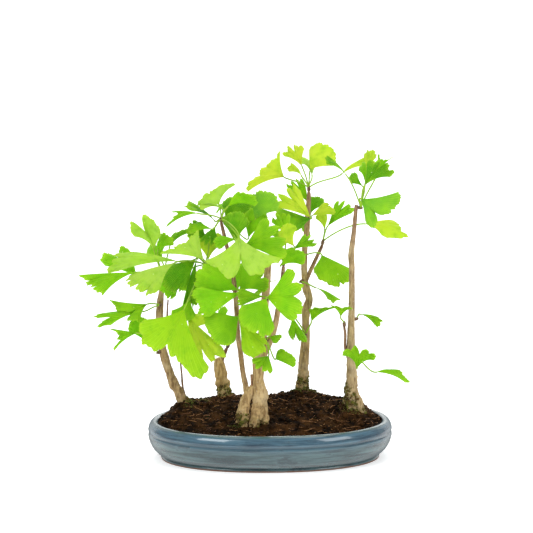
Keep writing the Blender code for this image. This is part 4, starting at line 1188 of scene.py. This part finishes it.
shape = bmesh.new()
for name in SPURS:
    root, bud = spur_parts(name)
    way = (bud - root).normalized()
    across, side = turned_frame(way, Vector((0.3, 1, 0.2)))
    rows = []
    for row in range(BUD_ROWS + 1):
        along = row / BUD_ROWS
        ring = []
        for step in range(BUD_TURNS):
            turn = 2 * math.pi * step / BUD_TURNS
            level = along * SCALE_ROWS
            scale = abs(math.sin(SCALES_ROUND / 2 * turn + math.pi * math.floor(level) / 2))
            lap = SCALE_LAP * (1 - level % 1.0) * scale
            swell = 0.62 + 0.30 * math.sin(math.pi * min(1, along * 1.05)) + lap
            radius = BUD_RADIUS * swell * (1 - BUD_TAPER * along)
            out = across * math.cos(turn) + side * math.sin(turn)
            height = BUD_RADIUS * (BUD_LENGTH * along - BUD_BELOW)
            ring.append(shape.verts.new(bud + way * height + out * radius))
        rows.append(ring)
    close_tube(shape, rows)
buds = add_piece("buds", finished_mesh("buds", shape), BUD_SCALES)
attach(buds, "root")

# The planting stands on a plain pale floor in soft, even studio light, seen a little from above
# through a long lens.
FLOOR_HALF = 6.0
VIEW_ELEVATION, VIEW_DISTANCE = math.radians(9.7), 2.6
PHOTO_WIDTH = 0.561
AIM = Vector((-2.6 * MM, 0, 204.5 * MM))
VIEW_ROLL = math.radians(0.4)
SENSOR = 36.0
FLOOR_GLOW, SKY_STRENGTH = 0.40, 0.62
LAMP_AIM = Vector((0, 0, 0.15))

# The floor from front to back, as y and z in metres: level, then curved up into a wall.
FLOOR_PROFILE = ((-FLOOR_HALF, 0), (2.5, 0), (3.2, 0.12), (3.7, 0.5), (3.9, 1.1), (3.9, 6.0))

# Each lamp: its place and width in metres, and its power in watts.
LAMPS = (
    ("key", (-1.3, -1.5, 1.9), 1.1, 20.0),
    ("fill", (1.5, -1.3, 1.5), 1.1, 13.0),
    ("top", (0.0, 0.5, 2.4), 1.8, 16.0),
    ("behind", (0.2, 2.0, 1.2), 1.8, 14.0),
)

shape = bmesh.new()
rows = []
for y, z in FLOOR_PROFILE:
    rows.append([shape.verts.new((x, y, z)) for x in (-FLOOR_HALF, FLOOR_HALF)])
for low, high in zip(rows, rows[1:]):
    shape.faces.new((low[0], low[1], high[1], high[0]))
floor_mesh = finished_mesh("floor", shape)
floor_material, tree, shader, place = start_material("floor_white")
feed(
    tree, shader, Base_Color=(0.93, 0.93, 0.93, 1), Roughness=0.9, Specular_IOR_Level=0.0,
    Emission_Color=(1, 1, 1, 1), Emission_Strength=FLOOR_GLOW,
)
floor = add_piece("floor", floor_mesh, floor_material)

world = bpy.data.worlds.new("studio")
bpy.context.scene.world = world
world.use_nodes = True
sky = world.node_tree.nodes["Background"]
sky.inputs["Color"].default_value = (1, 1, 1, 1)
sky.inputs["Strength"].default_value = SKY_STRENGTH
for name, spot, size, power in LAMPS:
    lamp = bpy.data.lights.new(name, "AREA")
    lamp.energy, lamp.size = power, size
    holder = bpy.data.objects.new(name, lamp)
    bpy.context.scene.collection.objects.link(holder)
    holder.location = spot
    holder.rotation_euler = (LAMP_AIM - Vector(spot)).to_track_quat("-Z", "Y").to_euler()

lens = bpy.data.cameras.new("camera")
lens.sensor_width = SENSOR
lens.lens = SENSOR * VIEW_DISTANCE / PHOTO_WIDTH
camera = bpy.data.objects.new("camera", lens)
bpy.context.scene.collection.objects.link(camera)
back = Vector((0, -math.cos(VIEW_ELEVATION), math.sin(VIEW_ELEVATION)))
camera.location = AIM + back * VIEW_DISTANCE
facing = (-back).to_track_quat("-Z", "Y") @ Quaternion((0, 0, 1), -VIEW_ROLL)
camera.rotation_euler = facing.to_euler()
bpy.context.scene.camera = camera
bpy.context.scene.view_settings.view_transform = "Standard"
